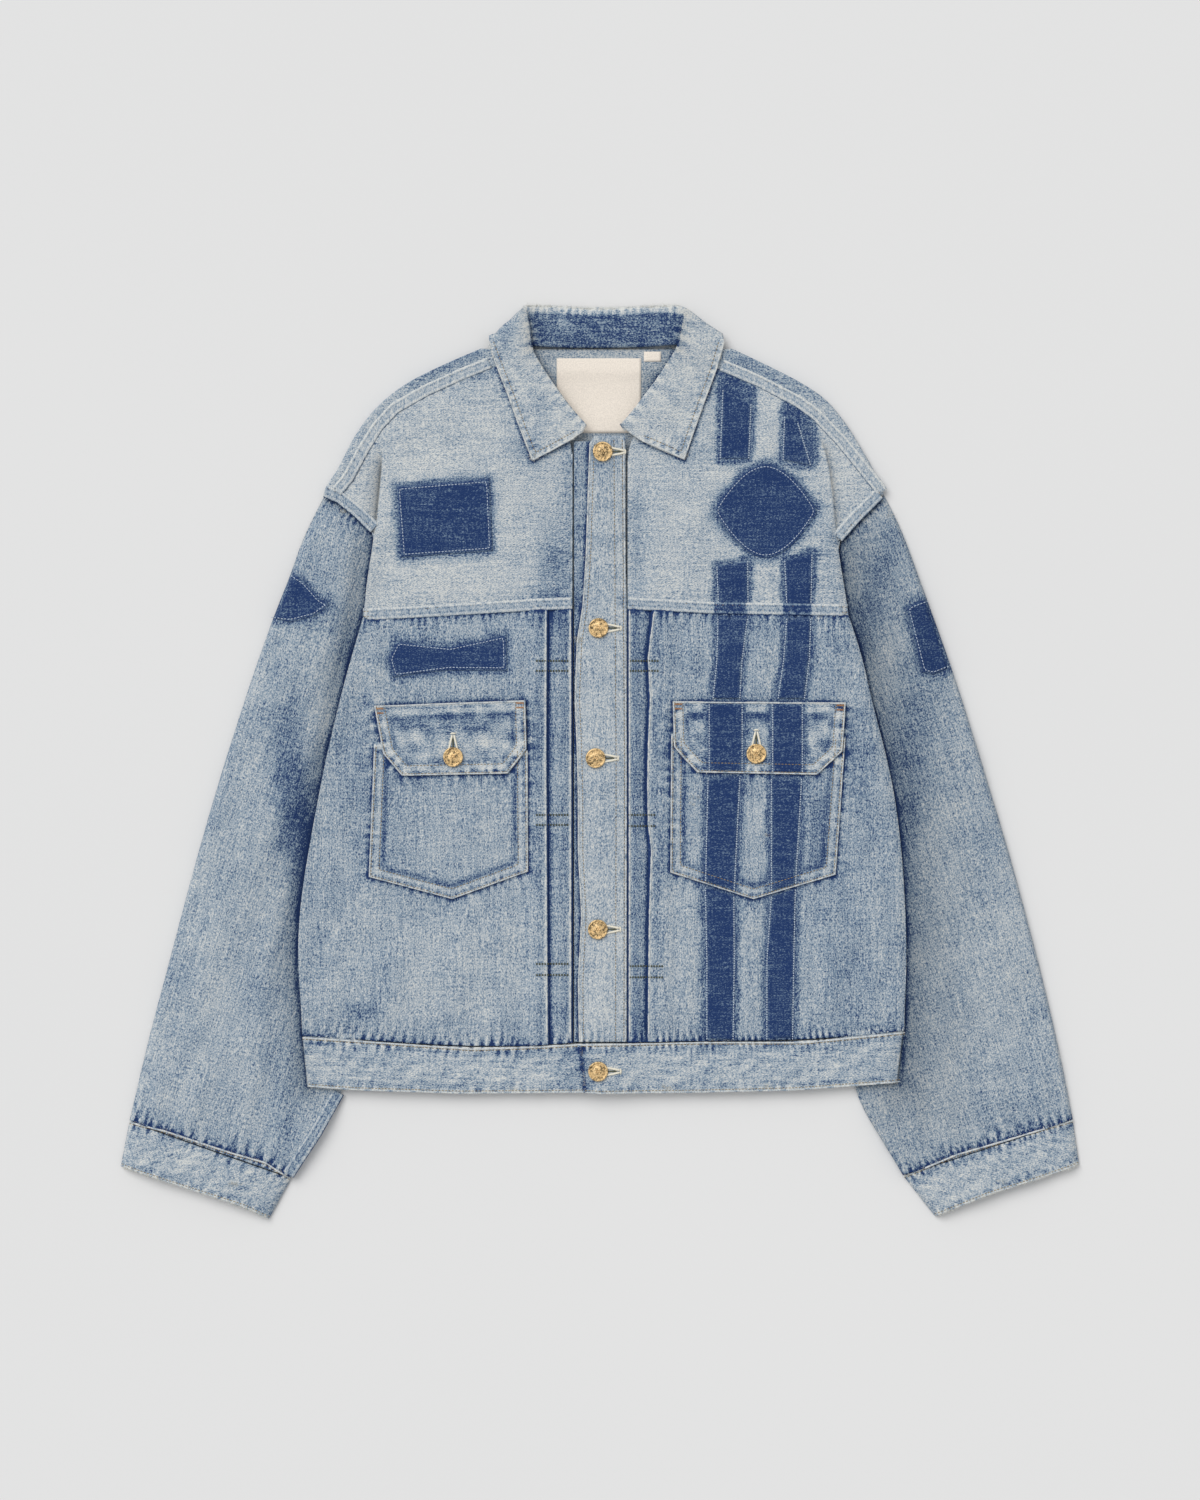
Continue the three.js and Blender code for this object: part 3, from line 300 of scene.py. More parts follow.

# Edges of each piece, rubbed pale, and edges of the pieces lying over it, beside which it gets a painted
# shadow line and stays darker with unfaded indigo.
OWN_EDGES = {
    "placket_left": [PLACKET_EDGE], "collar": [COLLAR_EDGE["right"], COLLAR_EDGE["left"], COLLAR_TOP],
    "waistband": [HEM, WAIST_SEAM["right"], WAIST_SEAM["left"]],
}
OVER_EDGES = {
    "placket_right": [PLACKET_EDGE],
    "placket_left": [PLACKET_FOLD, COLLAR_EDGE["left"], COLLAR_EDGE["right"]],
    "waistband": [BAND_END], "back_yoke": [COLLAR_ROLL["right"], COLLAR_ROLL["left"]],
}
for side, front_edge in (("right", PLACKET_EDGE), ("left", PLACKET_FOLD)):
    flap = looped(POCKET_FLAP[side])
    OWN_EDGES[f"pocket_{side}"] = [POCKET[side]]
    OWN_EDGES[f"flap_{side}"] = [flap]
    OWN_EDGES[f"cuff_{side}"] = [CUFF_END[side], CUFF_SEAM[side]]
    OVER_EDGES[f"pocket_{side}"] = [POCKET_FLAP[side][1:-1]]
    OVER_EDGES[f"front_panel_{side}"] = [POCKET[side], flap, YOKE_SEAM[side], WAIST_SEAM[side], front_edge]
    OVER_EDGES[f"front_yoke_{side}"] = [COLLAR_EDGE[side], front_edge]
    OVER_EDGES[f"sleeve_{side}"] = [CUFF_SEAM[side], BODY_EDGE[side], ARMHOLE_SEAM[side]]

# Where each yoke folds over the armhole.
YOKE_CREASE = {
    "right": [(-196, 285), (-197.5, 262), (-199.5, 240), (-201.5, 219), (-204, 205)],
    "left": [(195, 297), (203, 280), (207, 262), (210, 240), (213.5, 200)],
}

# Soft darker and paler places, from stains, fading and painted shade: middle x, y, half-widths along and
# across, angle in degrees, darkening.
TONES = {
    "front": [
        (-42, 172, 46, 17, 90, 0.34), (-52, 146, 30, 7, 2, 0.22), (-74, 285, 30, 9, -58, 0.07),
        (-105, 348, 20, 7, 22, 0.22), (-28, 240, 50, 10, 90, 0.16), (32, 200, 60, 9, 90, 0.18),
        (118, 346, 20, 7, -22, 0.22), (-150, 105, 60, 14, 3, 0.07), (-226, -20, 90, 18, 100, 0.09),
        (-258, -170, 90, 12, 92, 0.07), (-140, -190, 70, 55, 0, -0.06), (-212, -225, 15, 8, 0, 0.20),
        (-100, -235, 50, 8, 0, 0.08), (-80, -170, 60, 10, 90, -0.05), (72, 95, 30, 18, 0, 0.08),
        (146, 95, 30, 9, 90, 0.06), (234, 0, 100, 14, 100, 0.12), (262, -150, 90, 10, 92, 0.08),
        (225, -175, 60, 20, 90, 0.05), (76, -165, 70, 10, 90, -0.05), (195, -60, 45, 10, 90, 0.2),
        (-156, 32, 40, 11, 0, 0.26), (-105, 32, 32, 10, 0, 0.20), (141, 36, 70, 10, 0, 0.20),
        (-135, -50, 40, 30, 90, -0.02), (0, -200, 50, 13, 90, -0.10), (0, 60, 50, 12, 90, -0.02),
        (5, 235, 40, 9, 90, 0.06), (0, 276, 16, 10, 0, 0.16), (0, 122, 14, 10, 0, 0.10),
        (-190, -268, 60, 5, 0, 0.07), (150, -268, 80, 5, 0, 0.04), (-160, 260, 40, 30, 0, -0.05),
        (-130, 160, 60, 16, 0, -0.07), (60, 160, 18, 30, 0, -0.04), (210, 175, 50, 10, 95, 0.07),
        (-200, -200, 40, 14, 80, 0.06), (205, 90, 40, 12, 90, 0.05), (60, 40, 90, 9, 90, 0.05),
        (-62, 30, 90, 9, 90, 0.05), (218, -175, 70, 40, 90, 0.07), (68, 205, 60, 40, 90, 0.06),
        (203, 200, 60, 12, 95, 0.07),
    ],
    # On the sleeves the long dark places along the body's edges are painted shade, where the body lies over
    # the sleeve.
    "sleeve": [
        (-262, -95, 140, 20, 100, 0.46), (-232, 110, 90, 12, 110, 0.14), (-300, -250, 90, 18, 104, 0.08),
        (-340, -200, 110, 22, 106, -0.05), (-300, 60, 90, 14, 108, -0.03), (-285, -345, 26, 9, 60, 0.12),
        (268, -50, 160, 22, 80, 0.26), (240, 140, 90, 14, 70, 0.16), (300, -240, 90, 18, 76, 0.06),
        (348, -190, 110, 22, 74, -0.04), (310, 40, 80, 16, 72, 0.03), (372, -310, 30, 14, 0, 0.08),
        (252, 150, 60, 22, 70, 0.10),
    ],
    "collar": [
        (-84, 384, 14, 10, 70, 0.28), (-64, 286, 15, 6, -35, 0.24), (72, 284, 18, 6, 30, 0.14),
        (-50, 318, 20, 8, -50, 0.12),
    ],
    "back": [(-140, 356, 60, 8, 24, 0.22), (150, 350, 60, 8, -24, 0.22), (0, 120, 120, 60, 0, -0.05)],
}
# Shadowed cloth in the deep creases: line, reach, how much darker.
SHADES = {
    "sleeve": [
        (BODY_EDGE["right"], 11, 0.42), (BODY_EDGE["left"], 34, 0.50), (ARMHOLE_SEAM["right"], 3, 0.3),
        (ARMHOLE_SEAM["left"], 3, 0.3), (SLEEVE_INNER["right"], 5, 0.15),
    ],
    "front": [
        (YOKE_CREASE["right"], 4.5, 0.80), (YOKE_CREASE["left"], 3.0, 0.55),
        (BODY_EDGE["right"][3:], 5, 0.14), (BODY_EDGE["left"][3:], 5, 0.14),
    ],
    "back": [
        (COLLAR_ROLL["right"], 6, 0.25), (COLLAR_ROLL["left"], 6, 0.2), ([(-62, 372), (71, 372)], 4, 0.3),
    ],
    "collar": [
        ([(-65, 403), (-62, 372)], 7, 0.35), ([(76, 403), (71, 372)], 6, 0.25),
        ([(-62, 370), (71, 370)], 3, 0.3),
    ],
}

HALO_INDIGO = 0.84            # how dark the cloth round a patch is: 0 bleached, 1 raw
COVERED_HALO = 1.15           # its weight under the sleeves' patches and at the stripes' dyed ends
STAND_INDIGO = 0.52           # how much darker the collar's stand is than its fall
HIDDEN_TONE_SHARE = 0.3           # the share of the darker and paler places, painted shade among them, that the hidden side has
# Lines beside a piece's own edge, where the turned-in cloth ends and is sewn: amount, distance, half-width.
EDGE_BANDS = {
    ("pocket", "flap"): ((0.20, 3.2, 1.3), (0.34, 11.8, 2.8), (-0.15, 6.8, 2.3)),
    ("waistband", "cuff", "collar"): ((0.15, 5.5, 2.6),),
}
# Blotches of the wash: seed, length and amount, for every denim piece and for some.
BLOTCHES = ((21, 60, 0.035), (22, 26, 0.03))
FLAP_BLOTCHES = (23, 17, 0.17)
BAND_BLOTCHES = (24, 8, 0.13)
BAND_STRETCH = (0.3, 1.0)
COLLAR_BLOTCHES = (25, 22, 0.07)
PATCH_BLOTCHES = (8, 30, 0.03)

# How the cloth stands up, in millimetres.
SEAM_HOLD = 22.0                                  # how far from a seam the cloth is held down
LIFT_WAVES = ((11, 95, 0.55), (12, 42, 0.28))     # seed, length and height of the slow waves
LIFT_FROM = 2.7                                   # the frame's lower layers aren't lifted
LIFT_FADE = 2.4
SUNK = 0.12                                       # how deep a sewn-on piece's underside is pressed in
TAPE_HEIGHT = 0.42
PATCH_RIM = 0.12
PATCH_RISE = 0.36                                 # from its rim to its middle
PATCH_ROUND = 2.4                                 # over this distance from its rim


# ------------------------------------------------------------------ settings
def length_setting(name, description, default, low, high):
    """A length setting, from values in millimetres."""
    return bpy.props.FloatProperty(name=name, description=description, default=default * MM, min=low * MM,
                                   max=high * MM, unit="LENGTH")


def colour_setting(name, description, value):
    """A colour setting in linear red, green and blue."""
    return bpy.props.FloatVectorProperty(name=name, description=description, default=value, size=3,
                                         min=0, max=1, subtype="COLOR")


class JacketSizes(bpy.types.PropertyGroup):
    """The sizes of the cloth's mesh, seams, stitches and buttons"""
    cell: length_setting("Cloth cell", "Longest edge of the cloth's mesh where it shows", 3.0, 1.5, 10)
    hidden_cell: length_setting("Hidden cell", "Longest edge on the cloth's hidden side", 9.0, 3, 40)
    loft: length_setting("Loft", "How far the cloth stands up between its seams", 2.2, 0, 6)
    seam_width: length_setting("Felled seam", "Width of a flat-felled seam", 9.5, 5, 14)
    thread: length_setting("Thread", "Thickness of the sewing thread", 0.7, 0.2, 1.2)
    stitch: length_setting("Stitch", "Length from one stitch to the next", 3.0, 1.5, 5)
    button_radius: length_setting("Button radius", "Radius of a shank button's head", 8.9, 5, 12)


class JacketColours(bpy.types.PropertyGroup):
    """The colours of the denim, threads, tape, brass and floor"""
    bleached: colour_setting("Bleached", "Cloth worn white", (0.66, 0.67, 0.65))
    pale: colour_setting("Pale", "Faded cloth", (0.41, 0.46, 0.51))
    middle: colour_setting("Middle", "Half-faded cloth", (0.225, 0.302, 0.385))
    deep: colour_setting("Deep", "Cloth in creases", (0.08, 0.13, 0.228))
    raw: colour_setting("Raw", "Unfaded indigo", (0.015, 0.039, 0.130))
    thread: colour_setting("Thread", "Tan sewing thread", (0.36, 0.27, 0.15))
    white: colour_setting("White thread", "Undyed weft and patch thread", (0.74, 0.74, 0.70))
    label: colour_setting("Label", "Cream cotton tape", (0.86, 0.78, 0.69))
    brass: colour_setting("Brass", "Antique brass", (0.68, 0.48, 0.24))
    floor: colour_setting("Floor", "Plain pale floor", (0.762, 0.760, 0.760))


# ------------------------------------------------------------------ small geometry helpers
def seeded(number):
    """Random numbers that are the same in each run."""
    return np.random.default_rng(number)


def nearest_on_line(points, line):
    """Each point's distance to a polyline, its side, 1 on the left, and how far along it that is."""
    best = np.full(len(points), FAR)
    arc = np.zeros(len(points))
    side = np.zeros(len(points))
    start = 0.0
    for (x0, y0), (x1, y1) in zip(line[:-1], line[1:]):
        span = np.array([x1 - x0, y1 - y0])
        length = math.hypot(*span)
        rel = points - np.array([x0, y0])
        t = np.clip(rel @ span / length ** 2, 0, 1)
        away = rel - t[:, None] * span
        dist = np.hypot(away[:, 0], away[:, 1])
        closer = dist < best
        best = np.where(closer, dist, best)
        arc = np.where(closer, start + t * length, arc)
        cross = span[0] * rel[:, 1] - span[1] * rel[:, 0]
        side = np.where(closer, np.sign(cross), side)
        start += length
    return best, side, arc


def inside(points, outline):
    """Whether each point lies inside a closed outline."""
    x, y = points[:, 0], points[:, 1]
    result = np.zeros(len(points), bool)
    for (x0, y0), (x1, y1) in zip(outline, looped(outline)[1:]):
        crosses = (y0 > y) != (y1 > y)
        at = (x1 - x0) * (y - y0) / ((y1 - y0) or 1e-9) + x0
        result ^= crosses & (x < at)
    return result


def along(line, pitch):
    """Points and directions at even steps of a polyline."""
    line = [np.array(p, float) for p in line]
    lengths = [float(np.hypot(*(b - a))) for a, b in zip(line[:-1], line[1:])]
    total = sum(lengths)
    count = max(2, int(round(total / pitch)) + 1)
    points, directions = [], []
    for s in np.linspace(0, total, count):
        k = 0
        while k < len(lengths) - 1 and s > lengths[k]:
            s -= lengths[k]
            k += 1
        t = min(1.0, s / lengths[k])
        points.append(line[k] * (1 - t) + line[k + 1] * t)
        directions.append((line[k + 1] - line[k]) / lengths[k])
    return np.array(points), np.array(directions)


MITRE_LIMIT = 0.35      # keeps a sharp corner of a moved line from running away


def offset_line(line, distance, closed=False):
    """A polyline moved sideways, to its left where the distance is positive."""
    pts = [np.array(p, float) for p in line]
    count = len(pts)
    result = []
    for i in range(count):
        before = pts[i] - pts[i - 1] if (i or closed) else pts[1] - pts[0]
        after = pts[(i + 1) % count] - pts[i] if (i < count - 1 or closed) else before
        before = before / np.hypot(*before)
        after = after / np.hypot(*after)
        n0 = np.array([-before[1], before[0]])
        n1 = np.array([-after[1], after[0]])
        n = n0 + n1
        scale = distance / max(MITRE_LIMIT, float(n @ n0)) if np.hypot(*n) > 1e-6 else distance
        result.append(tuple(pts[i] + n * scale))
    return result


def waves(points, seed, length, count=7):
    """Smooth repeatable noise from about -1 to 1 made of sine waves near one length, in millimetres."""
    rng = seeded(seed)
    total = np.zeros(len(points))
    for _ in range(count):
        angle = rng.uniform(0, math.pi)
        k = 2 * math.pi / (length * rng.uniform(0.7, 1.5))
        phase = rng.uniform(0, 2 * math.pi)
        total += np.sin(points[:, 0] * k * math.cos(angle) + points[:, 1] * k * math.sin(angle) + phase)
    return total / math.sqrt(count) / 1.3


def smooth(x):
    """A soft step from 0 to 1."""
    x = np.clip(x, 0, 1)
    return x * x * (3 - 2 * x)


def band(distance, middle, width):
    """A soft band: 1 at its middle, dying out over its width."""
    return np.exp(-((distance - middle) / width) ** 2)


# ------------------------------------------------------------------ height and colour fields
def lift_field(points, group):
    """How far the cloth stands above its frame, in millimetres, as a function of its place."""
    key = "front" if group == "collar" else group
    nearest = np.full(len(points), FAR)
    for side in SIDES:
        lines = {
            "front": [YOKE_SEAM[side], WAIST_SEAM[side], SHOULDER_SEAM[side], BODY_EDGE[side], PLACKET_EDGE,
                      PLACKET_FOLD],
            "sleeve": [ARMHOLE_SEAM[side], CUFF_SEAM[side]],
            "back": [SHOULDER_SEAM[side]],
        }
        for line in lines[key]:
            nearest = np.minimum(nearest, nearest_on_line(points, line)[0])
    lift = bpy.context.scene.jacket_sizes.loft / MM * (1 - np.exp(-nearest / SEAM_HOLD))
    lift += sum(height * (1 + waves(points, seed, length)) for seed, length, height in LIFT_WAVES)
    for (x0, y0, x1, y1), width, height in FOLDS[key]:
        dist, _, arc = nearest_on_line(points, [(x0, y0), (x1, y1)])
        length = math.hypot(x1 - x0, y1 - y0)
        taper = np.sin(math.pi * np.clip(0.08 + 0.84 * arc / length, 0, 1)) ** 0.8
        lift += height * taper * band(dist, 0, width)
    for line, ripple, reach, height, _, _ in SEAM_MARKS[key]:
        lift += height * seam_ripple(points, line, ripple, reach)
    return np.maximum(lift, 0.0)


def seam_ripple(points, line, ripple, reach):
    """Uneven puckers across a seam, from -1 to 1, dying out with distance."""
    box = np.array(line)
    near = ((points > box.min(0) - 3 * reach) & (points < box.max(0) + 3 * reach)).all(1)
    result = np.zeros(len(points))
    if not near.any():
        return result
    dist, side, arc = nearest_on_line(points[near], line)
    rng = seeded(int(abs(box[0, 0] * 7 + box[0, 1] * 3)) + len(line))
    total = np.zeros(len(arc))
    for _ in range(7):
        along_seam = rng.uniform(0.55, 1.75) / ripple
        across_seam = rng.uniform(-0.45, 0.45) / ripple
        total += np.sin(2 * math.pi * (arc * along_seam + dist * side * across_seam) + rng.uniform(0, 7))
    total /= 2.3
    uneven = 0.6 + 0.45 * np.sin(arc / 27.0 + rng.uniform(0, 7)) * np.sin(arc / 11.0 + rng.uniform(0, 7))
    result[near] = np.clip(total, -1.2, 1.2) * np.exp(-(dist / (reach * uneven + 1.5)) ** 1.4)
    return result


def patch_halo(points, outlines):
    """How far the cloth round the patches and stripes kept its indigo, from 0 to 1."""
    halo = np.zeros(len(points))
    for name, outline in outlines.items():
        dist, _, arc = nearest_on_line(points, looped(outline))
        covered = inside(points, outline)
        dist = np.where(covered, 0, dist)
        strength, reach, fall = (1.0, 5.2, 4.0) if name.startswith("stripe") else (0.95, 4.2, 1.6)
        ragged = reach * (1 + 0.3 * np.sin(arc / 6.1) * np.sin(arc / 15.7))
        halo = np.maximum(halo, strength * np.exp(-(dist / ragged) ** fall))
        if name.startswith(("sleeve", "stripe_end")):
            halo = np.where(covered, COVERED_HALO, halo)
    return halo


def ellipse_tones(points, tones):
    """The soft darker and paler places, painted shade among them."""
    total = np.zeros(len(points))
    for x, y, long_half, short_half, angle, amount in tones:
        rel = points - np.array([x, y])
        c, s = math.cos(math.radians(angle)), math.sin(math.radians(angle))
        u = (rel[:, 0] * c + rel[:, 1] * s) / long_half
        v = (-rel[:, 0] * s + rel[:, 1] * c) / short_half
        ragged = 1 + 0.3 * waves(points, int(abs(x * 3 + y)) + 1, 24)
        total += amount * np.exp(-(u * u + v * v) ** 1.2 * ragged)
    return total


def own_edge_tones(points, name):
    """The pale rubbed edges of a piece, and the lines where its turned-in cloth ends."""
    total = np.zeros(len(points))
    for line in OWN_EDGES.get(name, ()):
        dist, _, arc = nearest_on_line(points, line)
        uneven = 0.78 + 0.22 * np.sin(arc / 5.3) * np.sin(arc / 13.7 + 1)
        total -= 0.46 * uneven * band(dist, 0, 1.6)
        for names, bands in EDGE_BANDS.items():
            if name.startswith(names):
                total += sum(amount * band(dist, middle, width) for amount, middle, width in bands)
    return total


def covered_edge_shade_and_dye(points, name, normals_up):
    """Painted shade in a narrow line beside an edge that lies over a piece, fading into darker unfaded cloth.
    """
    total = np.zeros(len(points))
    for line in OVER_EDGES.get(name, ()):
        dist, _, arc = nearest_on_line(points, line)
        uneven = 0.8 + 0.3 * np.sin(arc / 8.3) * np.sin(arc / 21.7 + 2)
        if line is PLACKET_FOLD and name in ("front_yoke_left", "placket_left"):
            total += uneven * (0.10 * band(dist, 0, 3.0) - 0.08 * band(dist, 4, 3))
        else:
            # a narrow painted shadow line beside the edge, and a broad band of unfaded indigo
            total += normals_up * uneven * (0.50 * band(dist, 0, 2.1) + 0.22 * np.exp(-dist / 7.5))
    return total


def pleat_wear_and_shade(points, side):
    """A pleat's fold is rubbed pale, and the cloth under its edge gets a painted shadow line that fades into
    darker unfaded cloth.
    """
    total = np.zeros(len(points))
    sign = -1 if side == "right" else 1
    for line in (PLEAT_INNER[side], PLEAT_OUTER[side]):
        dist, facing, _ = nearest_on_line(points, line)
        # painted shade under the fold's edge, fading into unfaded indigo
        fold_shade = 0.62 * band(dist, 1.2, 2.3) + 0.22 * np.exp(-dist / 8)
        folded = -0.40 * band(dist, 0.4, 1.5) + 0.12 * band(dist, 6, 4)
        total += np.where(facing * sign > 0, fold_shade, folded)
    return total


def blotches(points, seed, length, amount):
    """Uneven fading of one size."""
    return amount * waves(points, seed, length)


def indigo_field(points, name, piece, normals_up):
    """How dark the cloth is: 0 bleached, 1 raw indigo. Besides the dye, it holds painted shade beside edges
    lying over the cloth, under pleat folds and along the body's edges on the sleeves.
    """
    dark = np.full(len(points), piece.indigo)
    if name in PATCHES or name in SLEEVE_PATCHES:
        outline = PATCHES.get(name) or SLEEVE_PATCHES[name]
        dist, _, _ = nearest_on_line(points, looped(outline))
        return dark - 0.20 * band(dist, 0, 1.3) + blotches(points, *PATCH_BLOTCHES)
    if piece.group == "plain":
        return dark
    for line, ripple, reach, _, white, blue in SEAM_MARKS[piece.group]:
        wave = seam_ripple(points, line, ripple, reach)
        dark += np.where(wave < 0, -wave * blue, -wave * white)
    shown = HIDDEN_TONE_SHARE + (1 - HIDDEN_TONE_SHARE) * normals_up
    dark += ellipse_tones(points, TONES[piece.group]) * shown
    # rubbed pale own edges, and painted shadow lines with unfaded darkening beside the edges lying over the
    # piece
    dark += own_edge_tones(points, name) + covered_edge_shade_and_dye(points, name, normals_up)
    if name.startswith("front_panel"):
        dark += pleat_wear_and_shade(points, name.rsplit("_", 1)[1])
    dark += sum(blotches(points, *row) for row in BLOTCHES)
    if name.startswith("flap"):
        dark += blotches(points, *FLAP_BLOTCHES)
    if name.startswith(("waistband", "cuff")):
        dark += blotches(points * np.array(BAND_STRETCH), *BAND_BLOTCHES)
    if name == "collar":
        dark += blotches(points, *COLLAR_BLOTCHES)
    if piece.group == "front":
        halo = patch_halo(points, {**PATCHES, **STRIPE_ENDS}) * normals_up
        dark += halo * np.maximum(0.0, HALO_INDIGO - dark)
    if name.startswith("sleeve_"):
        dark += patch_halo(points, SLEEVE_PATCHES) * np.maximum(0.0, HALO_INDIGO - dark)
    return dark


def shade_field(points, group):
    """How much the creases shade the cloth."""
    total = np.zeros(len(points))
    for line, reach, amount in SHADES.get(group, ()):
        dist, facing, arc = nearest_on_line(points, line)
        fall = np.exp(-dist / reach)
        if line in YOKE_CREASE.values():
            outer = facing * line[0][0] > 0
            fall = np.where(outer, fall, band(dist, 0, 0.8)) * smooth(arc / 24)
        total = np.maximum(total, amount * fall)
    return total


# ------------------------------------------------------------------ cloth meshes
SPLIT_ROUNDS = 9
SHOWS_FROM = 0.25            # upward part of the normal of a face that shows
MARK_REACH = 3.6             # how far from a marked line the mesh is at its finest, in millimetres
MARK_MARGIN = 9              # beyond this distance from a marked line it isn't looked at


def marked_lines(name):
    """Lines beside which a piece's cloth is worn, creased, darker with unfaded indigo or painted with shade.
    """
    side = name.rsplit("_", 1)[-1]
    extra = []
    if name.startswith("front_panel"):
        extra = [PLEAT_INNER[side], PLEAT_OUTER[side]]
    if name.startswith("front_yoke"):
        extra = [YOKE_CREASE[side]]
    if CLOTH[name].group == "front":
        extra += [looped(outline) for outline in {**PATCHES, **STRIPE_ENDS}.values()
                  if (outline[0][0] < 0) == (side == "right")]
    return OWN_EDGES.get(name, []) + OVER_EDGES.get(name, []) + extra


def split_long(bm, fine, coarse, lines):
    """Cuts long edges in half. Upper faces get short edges, the shortest of them beside the marked lines."""
    for _ in range(SPLIT_ROUNDS):
        bm.normal_update()
        bm.verts.ensure_lookup_table()
        places = np.array([v.co[:2] for v in bm.verts]) / MM
        near = np.full(len(places), FAR)
        for line in lines:
            box = np.array(line)
            close = ((places > box.min(0) - MARK_MARGIN) & (places < box.max(0) + MARK_MARGIN)).all(1)
            if close.any():
                near[close] = np.minimum(near[close], nearest_on_line(places[close], line)[0])
        edges = []
        for edge in bm.edges:
            length = edge.calc_length()
            limit = coarse
            if any(f.normal.z > SHOWS_FROM for f in edge.link_faces):
                a, b = edge.verts
                reach = max(0.0, (near[a.index] + near[b.index]) / 2 - length / 2 / MM)
                limit = fine * (0.5 if reach < MARK_REACH else 1.0)
            if length > limit:
                edges.append(edge)
        if not edges:
            return
        bmesh.ops.subdivide_edges(bm, edges=edges, cuts=1, use_grid_fill=True)
        bm.verts.index_update()


def joined_copy(node):
    """A CAD node's mesh with shared corners, and with pairs of triangles joined where they make a quad."""
    bm = bmesh.new()
    bm.from_mesh(frame["nodes"][node].data)
    bmesh.ops.remove_doubles(bm, verts=bm.verts, dist=0.02 * MM)
    bmesh.ops.join_triangles(bm, faces=bm.faces, angle_face_threshold=math.radians(25),
                             angle_shape_threshold=math.radians(88), cmp_seam=False, cmp_sharp=False,
                             cmp_uvs=False, cmp_vcols=False, cmp_materials=False)
    return bm


RIM_ANGLE = math.radians(58)         # a bend as sharp as this is the rim of a wall
CORNER_ANGLE = math.radians(24)      # and at an upright edge this is a corner
WALL_SHIFT = 0.4 * MM                # an upright edge leans less than this
WALL_DEPTH = 0.6 * MM                # and is deeper than this


def crease_rims(bm):
    """Keeps the cut edges and corners of a wall sharp while the rest is smoothed."""
    layer = bm.edges.layers.float.get("crease_edge") or bm.edges.layers.float.new("crease_edge")
    for edge in bm.edges:
        if len(edge.link_faces) != 2:
            continue
        angle = edge.calc_face_angle(0)
        a, b = (v.co for v in edge.verts)
        upright = math.hypot(a.x - b.x, a.y - b.y) < WALL_SHIFT and abs(a.z - b.z) > WALL_DEPTH
        if angle > RIM_ANGLE or (upright and angle > CORNER_ANGLE):
            edge[layer] = 1.0


def link_object(name, data):
    """A new object in the scene."""
    obj = bpy.data.objects.new(name, data)
    bpy.context.scene.collection.objects.link(obj)
    return obj


def new_object(name, bm):
    """A new object from an edited mesh, which is freed."""
    mesh = bpy.data.meshes.new(name)
    bm.to_mesh(mesh)
    bm.free()
    return link_object(name, mesh)


def apply_modifier(obj, kind, **settings):
    """Adds one modifier and applies it."""
    bpy.ops.object.select_all(action="DESELECT")
    bpy.context.view_layer.objects.active = obj
    obj.select_set(True)
    modifier = obj.modifiers.new(kind.title(), kind)
    for key, value in settings.items():
        setattr(modifier, key, value)
    bpy.ops.object.modifier_apply(modifier=modifier.name)


def coordinates(mesh, what="co"):
    """The places, or the normals, of a mesh's points as an array."""
    data = np.empty(len(mesh.vertices) * 3)
    mesh.vertices.foreach_get(what, data)
    return data.reshape(-1, 3)


def smoothed_solid(name, piece):
    """A piece's frame solid, smoothed and cut fine."""
    sizes = bpy.context.scene.jacket_sizes
    bm = joined_copy(name)
    if piece.level:
        crease_rims(bm)
        obj = new_object(f"cloth_{name}", bm)
        apply_modifier(obj, "SUBSURF", levels=piece.level, render_levels=piece.level,
                       boundary_smooth="PRESERVE_CORNERS")
        bm = bmesh.new()
        bm.from_mesh(obj.data)
        bpy.data.objects.remove(obj, do_unlink=True)
    fine = sizes.cell * {"back": 2.4, "sleeve": 1.35}.get(piece.group, 1.0)
    split_long(bm, fine, sizes.hidden_cell, marked_lines(name))
    return new_object(f"cloth_{name}", bm)


def sewn_height(points, name, facing, surface):
    """Height in millimetres of a piece that is sewn on what lies beneath it."""
    outline = PATCHES.get(name) or SLEEVE_PATCHES.get(name)
    rise = TAPE_HEIGHT
    if outline:
        rim, _, _ = nearest_on_line(points, looped(outline))
        rise = PATCH_RIM + PATCH_RISE * smooth(rim / PATCH_ROUND)
    level = smooth(facing * 1.2 + 0.6)
    return surface.tops(points) / MM - SUNK + (rise + SUNK) * level


